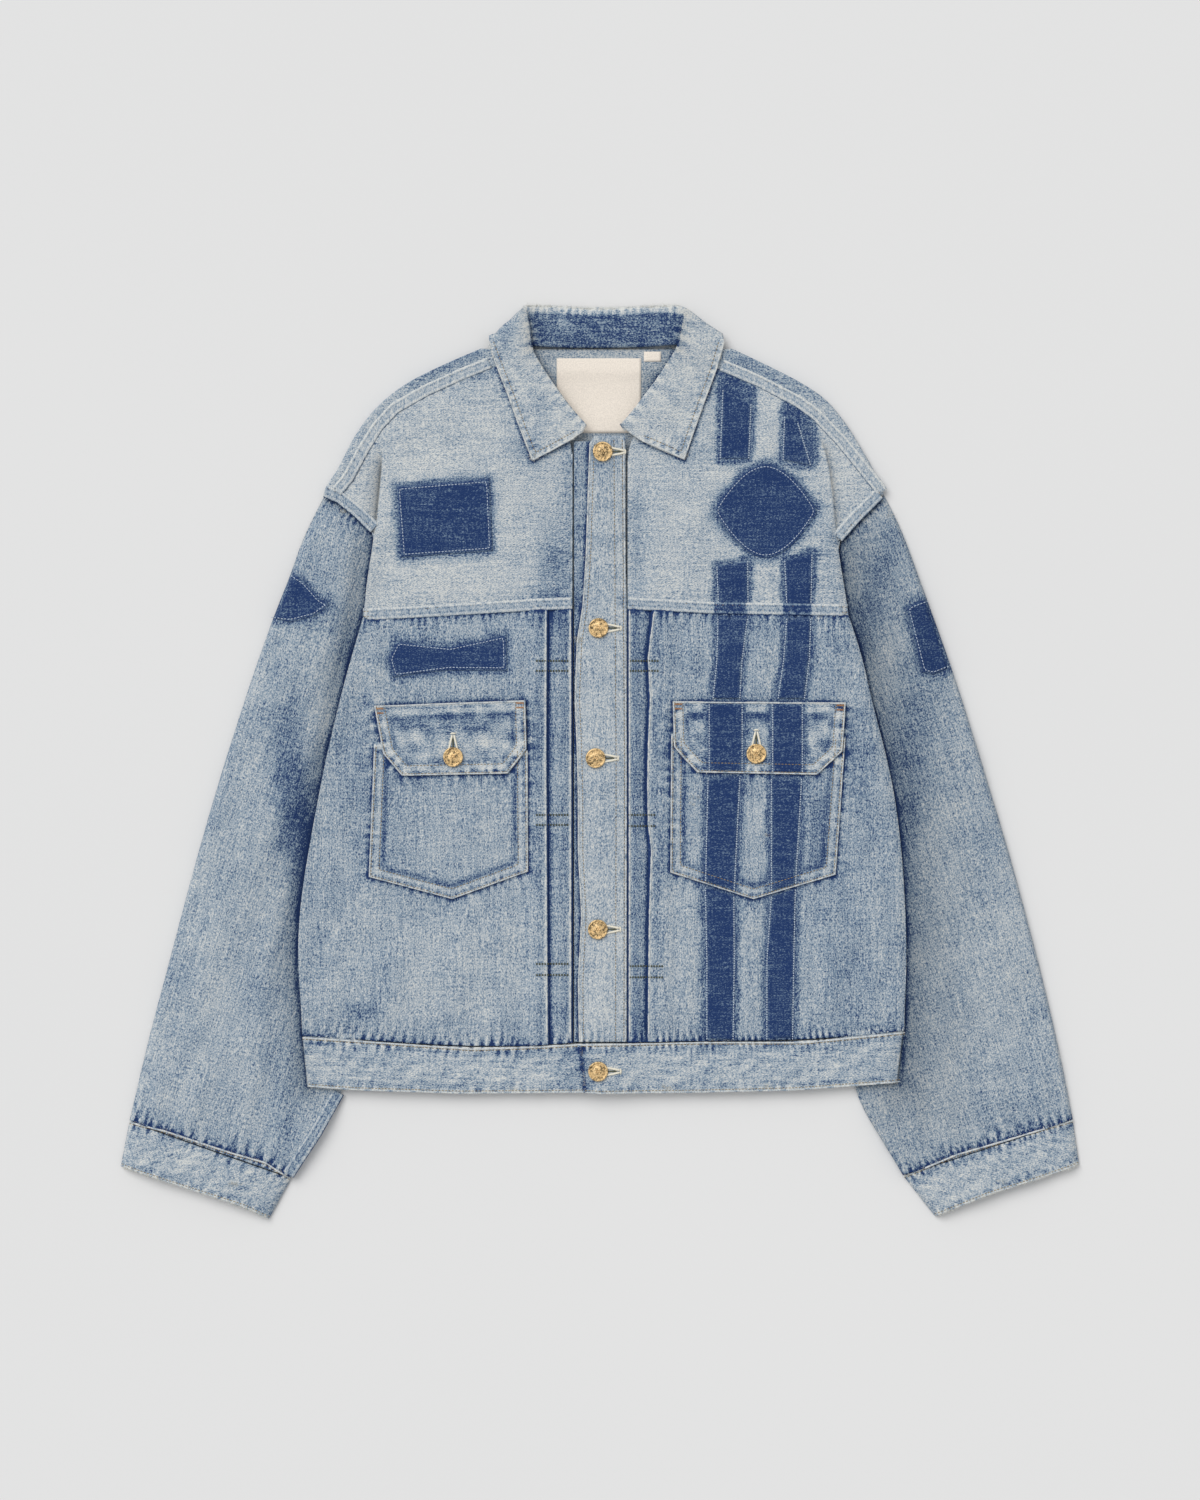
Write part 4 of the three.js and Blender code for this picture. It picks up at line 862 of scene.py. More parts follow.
def cloth_piece(name, piece, surface=None):
    """One piece of cloth: its frame solid lifted, puckered and coloured.

    A piece sewn on top takes its height from the surface beneath it.
    """
    obj = smoothed_solid(name, piece)
    mesh = obj.data
    co = coordinates(mesh)
    points = co[:, :2] / MM
    height = co[:, 2] / MM
    facing = coordinates(mesh, "normal")[:, 2]
    up = smooth(facing * 2 + 0.5)
    if surface is None:
        height = height + lift_field(points, piece.group) * smooth((height - LIFT_FROM) / LIFT_FADE)
    else:
        height = sewn_height(points, name, facing, surface)
    co[:, 2] = height * MM
    mesh.vertices.foreach_set("co", co.ravel())
    dark = indigo_field(points, name, piece, up)
    shade = shade_field(points, piece.group) * up
    if name == "collar":
        dark = np.where(inside(points, STAND), dark + STAND_INDIGO * smooth(height - 2.2), dark)
    if name == "back_yoke":
        neck = inside(points, NECK)
        dark = np.where(neck, dark - 0.04 * up, dark)
        shade = np.where(neck, np.maximum(shade, 0.12 * up), shade)
    for layer_name, values in (("indigo", dark), ("shade", shade)):
        layer = mesh.attributes.new(layer_name, "FLOAT", "POINT")
        layer.data.foreach_set("value", values.astype(np.float32))
    mesh.update()
    mesh.shade_smooth()
    material = "cream_tape" if piece.grain == "label" else f"wash_{piece.grain}"
    mesh.materials.append(bpy.data.materials[material])
    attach(obj, "root")
    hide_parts(name)
    return obj


def outline_area(outline):
    """Area of a closed outline in square millimetres, positive where it runs anticlockwise."""
    return sum(a[0] * b[1] - b[0] * a[1] for a, b in zip(outline, looped(outline)[1:])) / 2


def declare_sheet(obj, piece):
    """Does nothing: the cut that a piece of cloth was sewn from is not stated."""
    if piece.flat:
        return


# ------------------------------------------------------------------ what lies on the cloth
class Surface:
    """The top of the finished cloth, found by looking straight down."""

    def __init__(self, start="cloth_"):
        verts, faces = [], []
        for obj in bpy.data.objects:
            if not obj.name.startswith(start):
                continue
            first = len(verts)
            verts.extend(map(tuple, coordinates(obj.data)))
            faces.extend([tuple(first + i for i in p.vertices) for p in obj.data.polygons])
        self.tree = BVHTree.FromPolygons(verts, faces)

    def top(self, x, y, fallback=0.006):
        """Height in metres at a place in millimetres."""
        hit = self.tree.ray_cast(Vector((x * MM, y * MM, 0.1)), Vector((0, 0, -1)))
        return hit[0].z if hit[0] is not None else fallback

    def tops(self, points):
        """Heights in metres at many places."""
        return np.array([self.top(x, y) for x, y in points])


def mesh_piece(name, verts, faces, material, indigo=None):
    """A finished piece from its points and faces, riding on the jacket."""
    mesh = bpy.data.meshes.new(name)
    mesh.from_pydata([tuple(v) for v in verts], [], [tuple(f) for f in faces])
    mesh.update()
    if indigo is not None:
        layer = mesh.attributes.new("indigo", "FLOAT", "POINT")
        layer.data.foreach_set("value", np.asarray(indigo, np.float32))
    mesh.shade_smooth()
    mesh.materials.append(bpy.data.materials[material])
    obj = link_object(name, mesh)
    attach(obj, "root")
    return obj


def in_stripe(points):
    """Whether a place lies in the run of one of the two long stripes."""
    x, y = points[:, 0], points[:, 1]
    run = (y < 190) & (y > -252)
    inner = (x > 103) & (x < 132)
    outer = (x > 165) & (x < 190)
    return run & (inner | outer)


ROLL_STEP = 1.6              # from one ring of points to the next along a seam or a roll, in millimetres
PUCKER = 8.2                 # length of a felled seam's puckers
PUCKER_HEIGHT = 0.16
SEAM_SUNK = 0.1              # how deep a felled seam is pressed in
NEAR_ROW = 2.4               # the groove of a felled seam's near row of stitches, from its seam line
FAR_ROW = 2.6                # and of its far row, from its far edge
GROUND_WINDOW = 7            # over how many points the ground under a seam is averaged


def seam_profile(width):
    """A felled seam's section, across and up: two ridges with a groove for each row of stitches."""
    return [(-1.4, -0.9), (-1.2, 0.2), (-0.2, 0.75), (1.2, 0.95), (NEAR_ROW, 0.72), (width * 0.5, 0.98),
            (width - FAR_ROW, 0.72), (width - 1.2, 0.9), (width - 0.2, 0.5), (width + 0.5, -0.1),
            (width + 0.6, -0.9)]


def seam_dye_and_shade(across, ripple, width, indigo, far):
    """How dark a felled seam is at one place: worn pale where it stands up and darker in its dips, with
    painted shade in the stitch rows' channels, a painted shadow line just outside its near edge, and one
    along its far edge as strong as far.
    """
    worn = band(across, 0.3, 0.9) + band(across, width - 0.8, 0.9)
    groove_shade = band(across, NEAR_ROW, 0.7) + band(across, width - FAR_ROW, 0.7)
    dark = indigo - 0.08 * max(0, ripple) + 0.14 * max(0, -ripple) - 0.34 * worn
    # painted shade in the stitch rows' channels, and a painted shadow line just outside the near edge
    dark += 0.17 * groove_shade + 0.5 * band(across, -1.3, 0.8)
    # a painted shadow line along the far edge, as strong as far
    return dark + far * band(across, width + 0.5, 0.7)


def averaged(values, window):
    """A row of heights, each averaged with its neighbours."""
    return np.convolve(np.pad(values, window // 2, mode="edge"), np.ones(window) / window, mode="valid")


def tube_faces(base, rings, count, turned=False):
    """The faces of a closed tube whose rings of points follow each other, with a cap at each end."""
    faces = []
    for i in range(rings - 1):
        for k in range(count):
            a, b = base + i * count + k, base + i * count + (k + 1) % count
            faces.append((a, b, b + count, a + count) if turned else (a, a + count, b + count, b))
    first = tuple(range(base, base + count))
    last = tuple(range(base + (rings - 1) * count, base + rings * count))
    faces.append(first[::-1] if turned else first)
    faces.append(last if turned else last[::-1])
    return faces


def felled_seam(surface, name, line, side, indigo, far=0.0):
    """A flat-felled seam: a raised puckered band beside a seam line, closed underneath.

    side is 1 where it lies to the left of the line, and -1 to the right. far paints a shadow line along its
    far edge.
    """
    width = bpy.context.scene.jacket_sizes.seam_width / MM
    points, directions = along(line, ROLL_STEP)
    normals = np.stack([-directions[:, 1], directions[:, 0]], 1) * side
    for _ in range(3):
        normals[1:-1] = (normals[:-2] + normals[1:-1] * 2 + normals[2:]) / 4
    normals /= np.hypot(normals[:, 0], normals[:, 1])[:, None]
    arc = np.concatenate([[0], np.cumsum(np.hypot(*np.diff(points, axis=0).T))])
    samples = np.stack([surface.tops(points + normals * v) for v in (1.5, width * 0.5, width - 1.0)])
    ground = averaged(np.median(samples, axis=0), GROUND_WINDOW) / MM
    seed = line[0][0] * 0.3
    profile = seam_profile(width)
    verts, dark = [], []
    for i in range(len(points)):
        phase = arc[i] / PUCKER * 2 * math.pi + 1.3 * math.sin(arc[i] / 19 + seed)
        for across, up in profile:
            ripple = math.sin(phase + across * 0.45) * (0.6 + 0.4 * math.sin(arc[i] / 7.7 + seed))
            z = ground[i] + up + (PUCKER_HEIGHT * ripple if up > 0 else 0) - SEAM_SUNK
            x, y = points[i] + normals[i] * across
            verts.append((x * MM, y * MM, z * MM))
            dark.append(seam_dye_and_shade(across, ripple, width, indigo, far))
    faces = tube_faces(0, len(points), len(profile), turned=side > 0)
    dark = np.array(dark)
    if name == "seam_yoke_left":
        places = np.array([v[:2] for v in verts]) / MM
        dark = np.where(in_stripe(places), dark + 0.5, dark)
    return mesh_piece(name, verts, faces, "wash_seam", dark)


def long_edges(outline):
    """The two long sides of a stripe, without its short ends."""
    corners = looped(outline)
    sides = []
    run = [corners[0]]
    for a, b in zip(corners[:-1], corners[1:]):
        if abs(b[0] - a[0]) > abs(b[1] - a[1]):
            if len(run) > 1:
                sides.append(run)
            run = [b]
        else:
            run.append(b)
    if len(run) > 1:
        sides.append(run)
    return sides


class Bundle:
    """Many small shapes lying on a surface, joined in one mesh."""

    def __init__(self, surface):
        self.surface = surface
        self.verts = []
        self.faces = []
        self.indigo = None

    def add(self, place, z):
        """Adds one point, from millimetres."""
        self.verts.append((place[0] * MM, place[1] * MM, z * MM))

    def finish(self, name, material, slot):
        return mesh_piece(name, self.verts, self.faces, material, self.indigo)


class Threads(Bundle):
    """Stitches."""

    def stitch(self, p, direction, length, thick, rise):
        """One stitch: a thread that dips into the cloth at both ends."""
        d = np.array([direction[0], direction[1]])
        n = np.array([-d[1], d[0]])
        z = self.surface.top(*p) / MM
        base = len(self.verts)
        half = length / 2
        dip = 0.15
        self.add(p - d * half, z - dip)
        for t in (-0.6, 0.6):
            for across, up in ((-thick / 2, 0.0), (0, rise), (thick / 2, 0.0), (0, -0.2)):
                self.add(p + d * half * t + n * across, z + up)
        self.add(p + d * half, z - dip)
        for k in range(4):
            a, b = base + 1 + k, base + 1 + (k + 1) % 4
            self.faces += [(base, b, a), (a, b, b + 4, a + 4), (base + 9, a + 4, b + 4)]

    def run(self, line, pitch=None, thick=None):
        """A row of stitches along a line."""
        sizes = bpy.context.scene.jacket_sizes
        pitch = pitch or sizes.stitch / MM
        thick = thick or sizes.thread / MM
        points, directions = along(line, pitch)
        for p, d in zip(points[:-1] * 0.5 + points[1:] * 0.5, directions):
            self.stitch(p, d, pitch * 0.80, thick, thick * 0.75)

    def bar(self, start, end, width, pitch=0.7, thick=0.6):
        """A bar tack: stitches packed side by side."""
        points, directions = along([start, end], pitch)
        for p, d in zip(points, directions):
            self.stitch(p, (-d[1], d[0]), width, thick, thick * 0.9)


class Cords(Bundle):
    """Round threads, or rubbed rolls of cloth."""

    def __init__(self, surface):
        super().__init__(surface)
        self.indigo = []

    def lay(self, line, radius, rise, indigo=0.1, uneven=0.0):
        """One closed tube along a line. Its middle is raised above the surface by a share of its radius."""
        points, directions = along(line, ROLL_STEP)
        count = 6
        base = len(self.verts)
        ground = self.surface.tops(points) / MM
        if len(ground) > 4:
            ground = averaged(ground, 3)
        for i, (p, d) in enumerate(zip(points, directions)):
            n = np.array([-d[1], d[0]])
            end = 0.35 if i in (0, len(points) - 1) else 1.0
            swell = 1 + uneven * 0.25 * math.sin(i * 0.9 + line[0][0]) * math.sin(i * 0.37)
            unfaded = uneven * 0.3 * max(0, math.sin(i * 0.23 + line[0][1]) * math.sin(i * 0.71))
            for k in range(count):
                angle = 2 * math.pi * k / count
                place = p + n * math.cos(angle) * radius * end * swell
                self.add(place, ground[i] + (rise + math.sin(angle) * end) * radius * swell)
                self.indigo.append(indigo + unfaded)
        self.faces += tube_faces(base, len(points), count)


class Frays(Bundle):
    """Loose threads."""

    def __init__(self, surface):
        super().__init__(surface)
        self.rng = seeded(5)

    def edge(self, line, outward, per_mm, length, spread=1.2):
        """Loose threads along an edge, in clumps."""
        pitch = 0.5
        points, directions = along(line, pitch)
        normals = np.stack([-directions[:, 1], directions[:, 0]], 1) * outward
        for _ in range(int(len(points) * pitch * per_mm)):
            i = int(self.rng.integers(0, len(points)))
            clump = 0.5 + 0.5 * math.sin(points[i][0] / 9.0 + points[i][1] / 7.0)
            if self.rng.random() <= 0.35 + 0.65 * clump:
                self.loose_thread(points[i], normals[i], length, spread)

    def loose_thread(self, place, normal, length, spread):
        """One tapering thread of three sides that bends as it leaves the edge."""
        rng = self.rng
        p = place - normal * rng.uniform(0.2, 1.6)
        angle = math.atan2(normal[1], normal[0]) + rng.normal(0, 0.75)
        reach = length * rng.uniform(0.4, 1.0)
        z = self.surface.top(*p) / MM + 0.15
        bend = rng.normal(0, 0.5)
        thick = rng.uniform(0.16, 0.3)
        base = len(self.verts)
        steps = 4
        for k in range(steps):
            t = k / (steps - 1)
            a = angle + bend * t
            q = p + np.array([math.cos(a), math.sin(a)]) * reach * t
            side = np.array([-math.sin(a), math.cos(a)]) * thick / 2 * (1 - 0.5 * t)
            up = z + spread * 0.5 * math.sin(t * 2.2) * rng.uniform(0.3, 1.0) - 0.4 * t
            for across, extra in ((-1, 0), (1, 0), (0, thick)):
                self.add(q + side * across, up + extra)
        for k in range(steps - 1):
            for c in range(3):
                a, b = base + 3 * k + c, base + 3 * k + (c + 1) % 3
                self.faces.append((a, b, b + 3, a + 3))
        self.faces.append((base + 2, base + 1, base))
        self.faces.append((base + 3 * steps - 3, base + 3 * steps - 2, base + 3 * steps - 1))


# ------------------------------------------------------------------ materials
class Shader:
    """A node material built step by step."""

    def __init__(self, name):
        self.material = bpy.data.materials.new(name)
        self.material.use_nodes = True
        self.nodes = self.material.node_tree.nodes
        self.links = self.material.node_tree.links
        self.surface = self.nodes["Principled BSDF"]

    def add(self, kind, **settings):
        """A new node with its settings."""
        node = self.nodes.new(kind)
        for key, value in settings.items():
            setattr(node, key, value)
        return node

    def math(self, operation, a, b, clamp=False):
        """Two values or outputs worked out together."""
        node = self.add("ShaderNodeMath", operation=operation, use_clamp=clamp)
        for socket, value in zip(node.inputs, (a, b)):
            if isinstance(value, (int, float)):
                socket.default_value = value
            else:
                self.links.new(value, socket)
        return node.outputs[0]

    def place(self, scale, angle=0.0):
        """Object coordinates turned about Z and stretched."""
        coords = self.add("ShaderNodeTexCoord").outputs["Object"]
        turn = self.add("ShaderNodeMapping")
        turn.inputs["Rotation"].default_value = (0, 0, angle)
        stretch = self.add("ShaderNodeMapping")
        stretch.inputs["Scale"].default_value = scale
        self.links.new(coords, turn.inputs["Vector"])
        self.links.new(turn.outputs["Vector"], stretch.inputs["Vector"])
        return stretch.outputs["Vector"]

    def noise(self, vector, detail=2.0, roughness=0.5):
        """Noise in stretched coordinates, which set its scale."""
        node = self.add("ShaderNodeTexNoise")
        node.inputs["Scale"].default_value = 1.0
        node.inputs["Detail"].default_value = detail
        node.inputs["Roughness"].default_value = roughness
        self.links.new(vector, node.inputs["Vector"])
        return node.outputs["Fac"]

    def ramp(self, value, stops):
        """A colour for each value, from places and colours."""
        node = self.add("ShaderNodeValToRGB")
        elements = node.color_ramp.elements
        elements[0].position, elements[0].color = stops[0][0], (*stops[0][1], 1)
        elements[1].position, elements[1].color = stops[-1][0], (*stops[-1][1], 1)
        for position, colour in stops[1:-1]:
            elements.new(position).color = (*colour, 1)
        self.links.new(value, node.inputs["Fac"])
        return node.outputs["Color"]

    def bump(self, height, distance, strength=1.0):
        """Fine relief on the finished surface."""
        node = self.add("ShaderNodeBump")
        node.inputs["Distance"].default_value = distance
        node.inputs["Strength"].default_value = strength
        self.links.new(height, node.inputs["Height"])
        self.links.new(node.outputs["Normal"], self.surface.inputs["Normal"])


def denim(name, angle, streak=0.36, speck=0.80, blotch=0.09):
    """Washed denim: slubby streaks along the grain, specks of white weft, blotchy fading, shaded creases."""
    colours = bpy.context.scene.jacket_colours
    s = Shader(name)
    indigo = s.add("ShaderNodeAttribute", attribute_name="indigo").outputs["Fac"]
    shade = s.add("ShaderNodeAttribute", attribute_name="shade").outputs["Fac"]
    slub = s.noise(s.place((640, 42, 42), angle), detail=3.0, roughness=0.65)
    cross = s.noise(s.place((60, 800, 60), angle), detail=1.0)
    fine = s.noise(s.place((980, 640, 640), angle), detail=1.0, roughness=0.7)
    coarse = s.noise(s.place((700, 360, 360), angle), detail=1.0, roughness=0.6)
    cloud = s.noise(s.place((13, 9, 9), angle), detail=4.0, roughness=0.6)
    total = indigo
    for value, amount in ((slub, streak), (cross, streak * 0.4), (fine, speck), (coarse, speck * 0.29),
                          (cloud, blotch)):
        total = s.math("ADD", total, s.math("MULTIPLY", s.math("SUBTRACT", value, 0.5), amount * 2))
    stops = [(0.0, tuple(colours.bleached)), (0.36, tuple(colours.pale)), (0.6, tuple(colours.middle)),
             (0.82, tuple(colours.deep)), (1.0, tuple(colours.raw))]
    colour = s.ramp(s.math("ADD", total, 0.0, clamp=True), stops)
    darken = s.add("ShaderNodeMix", data_type="RGBA", blend_type="MULTIPLY")
    s.links.new(shade, darken.inputs["Factor"])
    s.links.new(colour, darken.inputs["A"])
    darken.inputs["B"].default_value = (0.10, 0.09, 0.08, 1)
    s.links.new(darken.outputs["Result"], s.surface.inputs["Base Color"])
    s.surface.inputs["Roughness"].default_value = 0.92
    s.surface.inputs["Specular IOR Level"].default_value = 0.15
    twill = s.add("ShaderNodeTexWave", wave_type="BANDS", bands_direction="DIAGONAL")
    twill.inputs["Scale"].default_value = 1.0
    twill.inputs["Distortion"].default_value = 0.6
    s.links.new(s.place((330, 210, 210), angle), twill.inputs["Vector"])
    height = s.math("ADD", s.math("MULTIPLY", twill.outputs["Fac"], 0.3), fine)
    height = s.math("ADD", height, s.math("ADD", coarse, slub))
    s.bump(height, 0.45 * MM, 1.0)
    return s.material


def plain_cloth(name, colour, contrast=0.1):
    """Plain tape or thread with a fine weave."""
    s = Shader(name)
    grain = s.noise(s.place((900, 900, 900)), detail=2.0)
    dark = tuple(c * (1 - contrast * 2) for c in colour)
    light = tuple(min(1, c * (1 + contrast)) for c in colour)
    s.links.new(s.ramp(grain, [(0.3, dark), (0.7, light)]), s.surface.inputs["Base Color"])
    s.surface.inputs["Roughness"].default_value = 0.85
    s.bump(grain, 0.15 * MM, 0.6)
    return s.material


def antique_brass():
    """Old brass: dark and bright in patches of noise, and rougher where it is bright."""
    brass = tuple(bpy.context.scene.jacket_colours.brass)
    s = Shader("antique_brass")
    grime = s.noise(s.place((420, 420, 420)), detail=4.0, roughness=0.7)
    dark = tuple(c * 0.22 for c in brass)
    light = tuple(min(1, c * 1.3) for c in brass)
    s.links.new(s.ramp(grime, [(0.41, dark), (0.49, brass), (0.60, light)]), s.surface.inputs["Base Color"])
    s.surface.inputs["Metallic"].default_value = 0.55
    rough = s.math("ADD", s.math("MULTIPLY", grime, 0.4), 0.22)
    s.links.new(rough, s.surface.inputs["Roughness"])
    s.bump(grime, 0.25 * MM, 0.5)
    return s.material


class JACKET_OT_materials(bpy.types.Operator):
    """Makes the denims, threads, tape and brass"""
    bl_idname = "jacket.materials"
    bl_label = "Materials"

    def execute(self, context):
        colours = context.scene.jacket_colours
        denim("wash_panel", 0.0)
        denim("wash_yoke", math.radians(90), streak=0.34)
        denim("wash_sleeve_right", math.radians(17.5))
        denim("wash_sleeve_left", math.radians(-16.5))
        denim("wash_cuff_right", math.radians(72))
        denim("wash_cuff_left", math.radians(-71))
        denim("wash_indigo", math.radians(90), streak=0.30, speck=0.55, blotch=0.07)
        denim("wash_seam", 0.0, streak=0.08, speck=0.7, blotch=0.14)
        plain_cloth("cream_tape", tuple(colours.label), 0.06)
        plain_cloth("thread_tan", tuple(colours.thread), 0.25)
        plain_cloth("thread_white", tuple(colours.white), 0.12)
        plain_cloth("thread_blue", (0.56, 0.65, 0.76), 0.12)
        plain_cloth("thread_olive", (0.09, 0.10, 0.07), 0.2)
        plain_cloth("thread_cream", (0.84, 0.79, 0.66), 0.06)
        plain_cloth("thread_orange", (0.55, 0.27, 0.10), 0.2)
        antique_brass()
        return {"FINISHED"}


# ------------------------------------------------------------------ operators for the pieces
class JACKET_OT_cloth(bpy.types.Operator):
    """Makes every piece of cloth from its place in the frame"""
    bl_idname = "jacket.cloth"
    bl_label = "Cloth"

    def execute(self, context):
        sewn_on = [name for name, piece in CLOTH.items()
                   if piece.group in ("patch", "plain") or name.startswith("sleeve_patch")]
        for name, piece in CLOTH.items():
            if name not in sewn_on:
                declare_sheet(cloth_piece(name, piece), piece)
        surface = Surface()
        back = Surface("cloth_back")
        for name in sewn_on:
            piece = CLOTH[name]
            beneath = back if piece.group == "plain" else surface
            declare_sheet(cloth_piece(name, piece, beneath), piece)
        return {"FINISHED"}


class JACKET_OT_seams(bpy.types.Operator):
    """Lays flat-felled seams over the joins of the cloth"""
    bl_idname = "jacket.seams"
    bl_label = "Felled seams"

    def execute(self, context):
        surface = Surface()
        for side, turn in TURNS:
            felled_seam(surface, f"seam_yoke_{side}", YOKE_SEAM[side], 1, 0.40)
            felled_seam(surface, f"seam_shoulder_{side}", SHOULDER_SEAM[side], -turn, 0.30)
            felled_seam(surface, f"seam_armhole_{side}", ARMHOLE_SEAM[side], turn, 0.40)
        # this seam also gets a painted shadow line along its far edge
        felled_seam(surface, "seam_sleeve_right", SLEEVE_INNER["right"], -1, 0.54, far=0.45)
        # Rubbed rolls of cloth: line, how far it is moved, radius, rise, indigo, unevenness.
        rows = []
        for side, turn in TURNS:
            rows += [
                (COLLAR_EDGE[side], turn * 0.8, 0.8, 0.2, 0.06, 1.0),
                (WAIST_SEAM[side], -1.1, 0.85, 0.15, 0.08, 1.0),
                (CUFF_SEAM[side], -1.1, 0.85, 0.15, 0.08, 1.0),
                (POCKET[side], 0.8, 0.6, 0.1, 0.14, 1.3),
                (looped(POCKET_FLAP[side]), 0.8, 0.7, 0.15, 0.10, 1.2),
                (PLEAT_INNER[side], turn * 0.7, 0.8, 0.1, 0.10, 1.2),
                (PLEAT_OUTER[side], turn * 0.7, 0.8, 0.1, 0.10, 1.2),
            ]
        rows += [
            (PLACKET_EDGE, -0.8, 0.7, 0.15, 0.12, 1.2), (PLACKET_FOLD, 0.1, 0.95, 0.05, 0.20, 1.0),
            (UNDER_SEAM, 0.0, 0.95, 0.0, 0.42, 1.0), (HEM, 0.8, 0.7, 0.1, 0.14, 1.4),
        ]
        rolls = Cords(surface)
        for line, move, radius, rise, indigo, uneven in rows:
            rolls.lay(offset_line(line, move), radius, rise, indigo, uneven)
        rolls.finish("rubbed_edges", "wash_seam", "denim_band")
        return {"FINISHED"}


class JACKET_OT_stitching(bpy.types.Operator):
    """Sews the rows of stitches, bar tacks and buttonholes"""
    bl_idname = "jacket.stitching"
    bl_label = "Stitching"

    def execute(self, context):
        surface = Surface()
        self.sew_seams(surface, context.scene.jacket_sizes.seam_width / MM)
        self.tack_pleats(surface)
        self.tack_flaps(surface)
        self.sew_patches(surface)
        self.sew_buttonholes(surface)
        return {"FINISHED"}

    def sew_seams(self, surface, width):
        """The tan rows along seams, edges, pockets and placket."""
        tan = Threads(surface)
        for side, turn in TURNS:
            for inset in (2.3, width - 2.5):
                tan.run(offset_line(YOKE_SEAM[side], inset))
                tan.run(offset_line(SHOULDER_SEAM[side], -turn * inset))
                tan.run(offset_line(ARMHOLE_SEAM[side], turn * inset))
            for inset in (1.8, 9.0):
                tan.run(offset_line(POCKET[side], inset))
                tan.run(offset_line(POCKET_FLAP[side], inset))
            tan.run(offset_line(WAIST_SEAM[side], -2.4))
            tan.run(offset_line(CUFF_SEAM[side], -2.4))
            tan.run(offset_line(CUFF_END[side], 2.6))
            tan.run(offset_line(COLLAR_EDGE[side], turn * 5.5))
        tan.run(offset_line(HEM, 2.6))
        tan.run(offset_line(PLACKET_EDGE, -4.5))
        for inset in (1.5, 9.0):
            tan.run(offset_line(PLACKET_FOLD, inset))
        tan.finish("stitching_tan", "thread_tan", "label_cloth")

    def tack_pleats(self, surface):
        """Three pairs of olive bars hold the pleats of each front."""
        olive = Threads(surface)
        # Each pair: its near and far ends from the middle, and its two heights.
        for sign, pairs in ((1, ((26, 53, 90.5, 81.5), (25, 50, -48, -58), (26, 57, -184, -194))),
                            (-1, ((28, 58, 90.5, 81.5), (28, 58, -48, -57), (28, 58, -182, -192)))):
            for near, far, upper, lower in pairs:
                for y in (upper, lower):
                    olive.run([(sign * near, y), (sign * far, y)], pitch=2.4, thick=1.9)
        olive.finish("stitching_olive", "thread_olive", "label_cloth")

    def tack_flaps(self, surface):
        """Two orange bar tacks at each upper corner of the pockets' flaps."""
        orange = Threads(surface)
        for side, sign in (("right", -1), ("left", 1)):
            corners = (POCKET_FLAP[side][0], POCKET_FLAP[side][-1])
            for x, y in corners:
                inward = sign * (-1 if x * sign > 140 else 1)
                for drop in (2.5, 6.5):
                    orange.bar((x + inward * 1.5, y - drop), (x + inward * 8, y - drop), 2.0)
        orange.finish("bar_tacks", "thread_orange", "label_cloth")

    def sew_patches(self, surface):
        """Pale blue stitches inside the edges of the patches and along the stripes."""
        blue = Threads(surface)
        for name, outline in PATCHES.items():
            stripe = name.startswith("stripe")
            inset = 0.2 if stripe else 3.2
            inner = offset_line(outline, inset if outline_area(outline) > 0 else -inset, closed=True)
            if stripe:
                for edge in long_edges(inner):
                    blue.run(edge, pitch=2.2, thick=1.15)
            else:
                blue.run(looped(inner), pitch=3.0, thick=0.8)
        for outline in SLEEVE_PATCHES.values():
            inner = offset_line(outline, 3.0 if outline[0][0] > 0 else -3.0)
            blue.run(inner, pitch=3.0, thick=0.8)
        blue.finish("stitching_patches", "thread_blue", "label_cloth")

    def sew_buttonholes(self, surface):
        """Cream cords round each slit, and a dark cord laid in each slit as its painted shade: across on the
        front, upright on the flaps.
        """
        cords = Cords(surface)
        # dark cords laid in the slits are painted shade
        slit_shade = Cords(surface)
        for x, y in FRONT_BUTTONS + [WAIST_BUTTON]:
            for up in (1, -1):
                run = [(x + 6, y + up * 3.6), (x + 13, y + up * 2.4), (x + 20, y + up * 0.9)]
                cords.lay(run, 0.95, 0.6)
            cords.lay([(x + 20, y - 2.6), (x + 20.6, y), (x + 20, y + 2.6)], 0.8, 0.6)
            slit_shade.lay([(x + 6, y), (x + 17, y)], 0.9, -0.2)
        for x, y in FLAP_BUTTONS.values():
            for out in (-1, 1):
                run = [(x + out * 4.2, y + 5), (x + out * 2.4, y + 13), (x + out * 0.8, y + 20)]
                cords.lay(run, 0.95, 0.6)
            cords.lay([(x - 2.6, y + 21), (x, y + 21.6), (x + 2.6, y + 21)], 0.8, 0.6)
            slit_shade.lay([(x, y + 6), (x, y + 17)], 0.9, -0.2)
        cords.finish("buttonholes", "thread_cream", "label_cloth")
        slit_shade.finish("buttonhole_slits", "thread_olive", "label_cloth")


# Frayed edges: line, side of the threads, threads a millimetre, length in millimetres.
FRAYED_EDGES = [(HEM, -1, 1.1, 3.2), (COLLAR_TOP, 1, 2.0, 3.4), (BAND_END, -1, 1.5, 2.6)]
for side, turn in TURNS:
    FRAYED_EDGES += [
        (CUFF_END[side], -1, 1.8, 3.4), (COLLAR_EDGE[side], -turn, 1.1, 3.0),
        (COLLAR_ROLL[side], turn, 0.9, 2.6), (POCKET_FLAP[side], -1, 0.35, 2.2),
        (CUFF_SEAM[side], -1, 0.5, 2.4), (WAIST_SEAM[side], -1, 0.3, 2.4), (ARMHOLE_SEAM[side], 1, 1.2, 3.0),
    ]
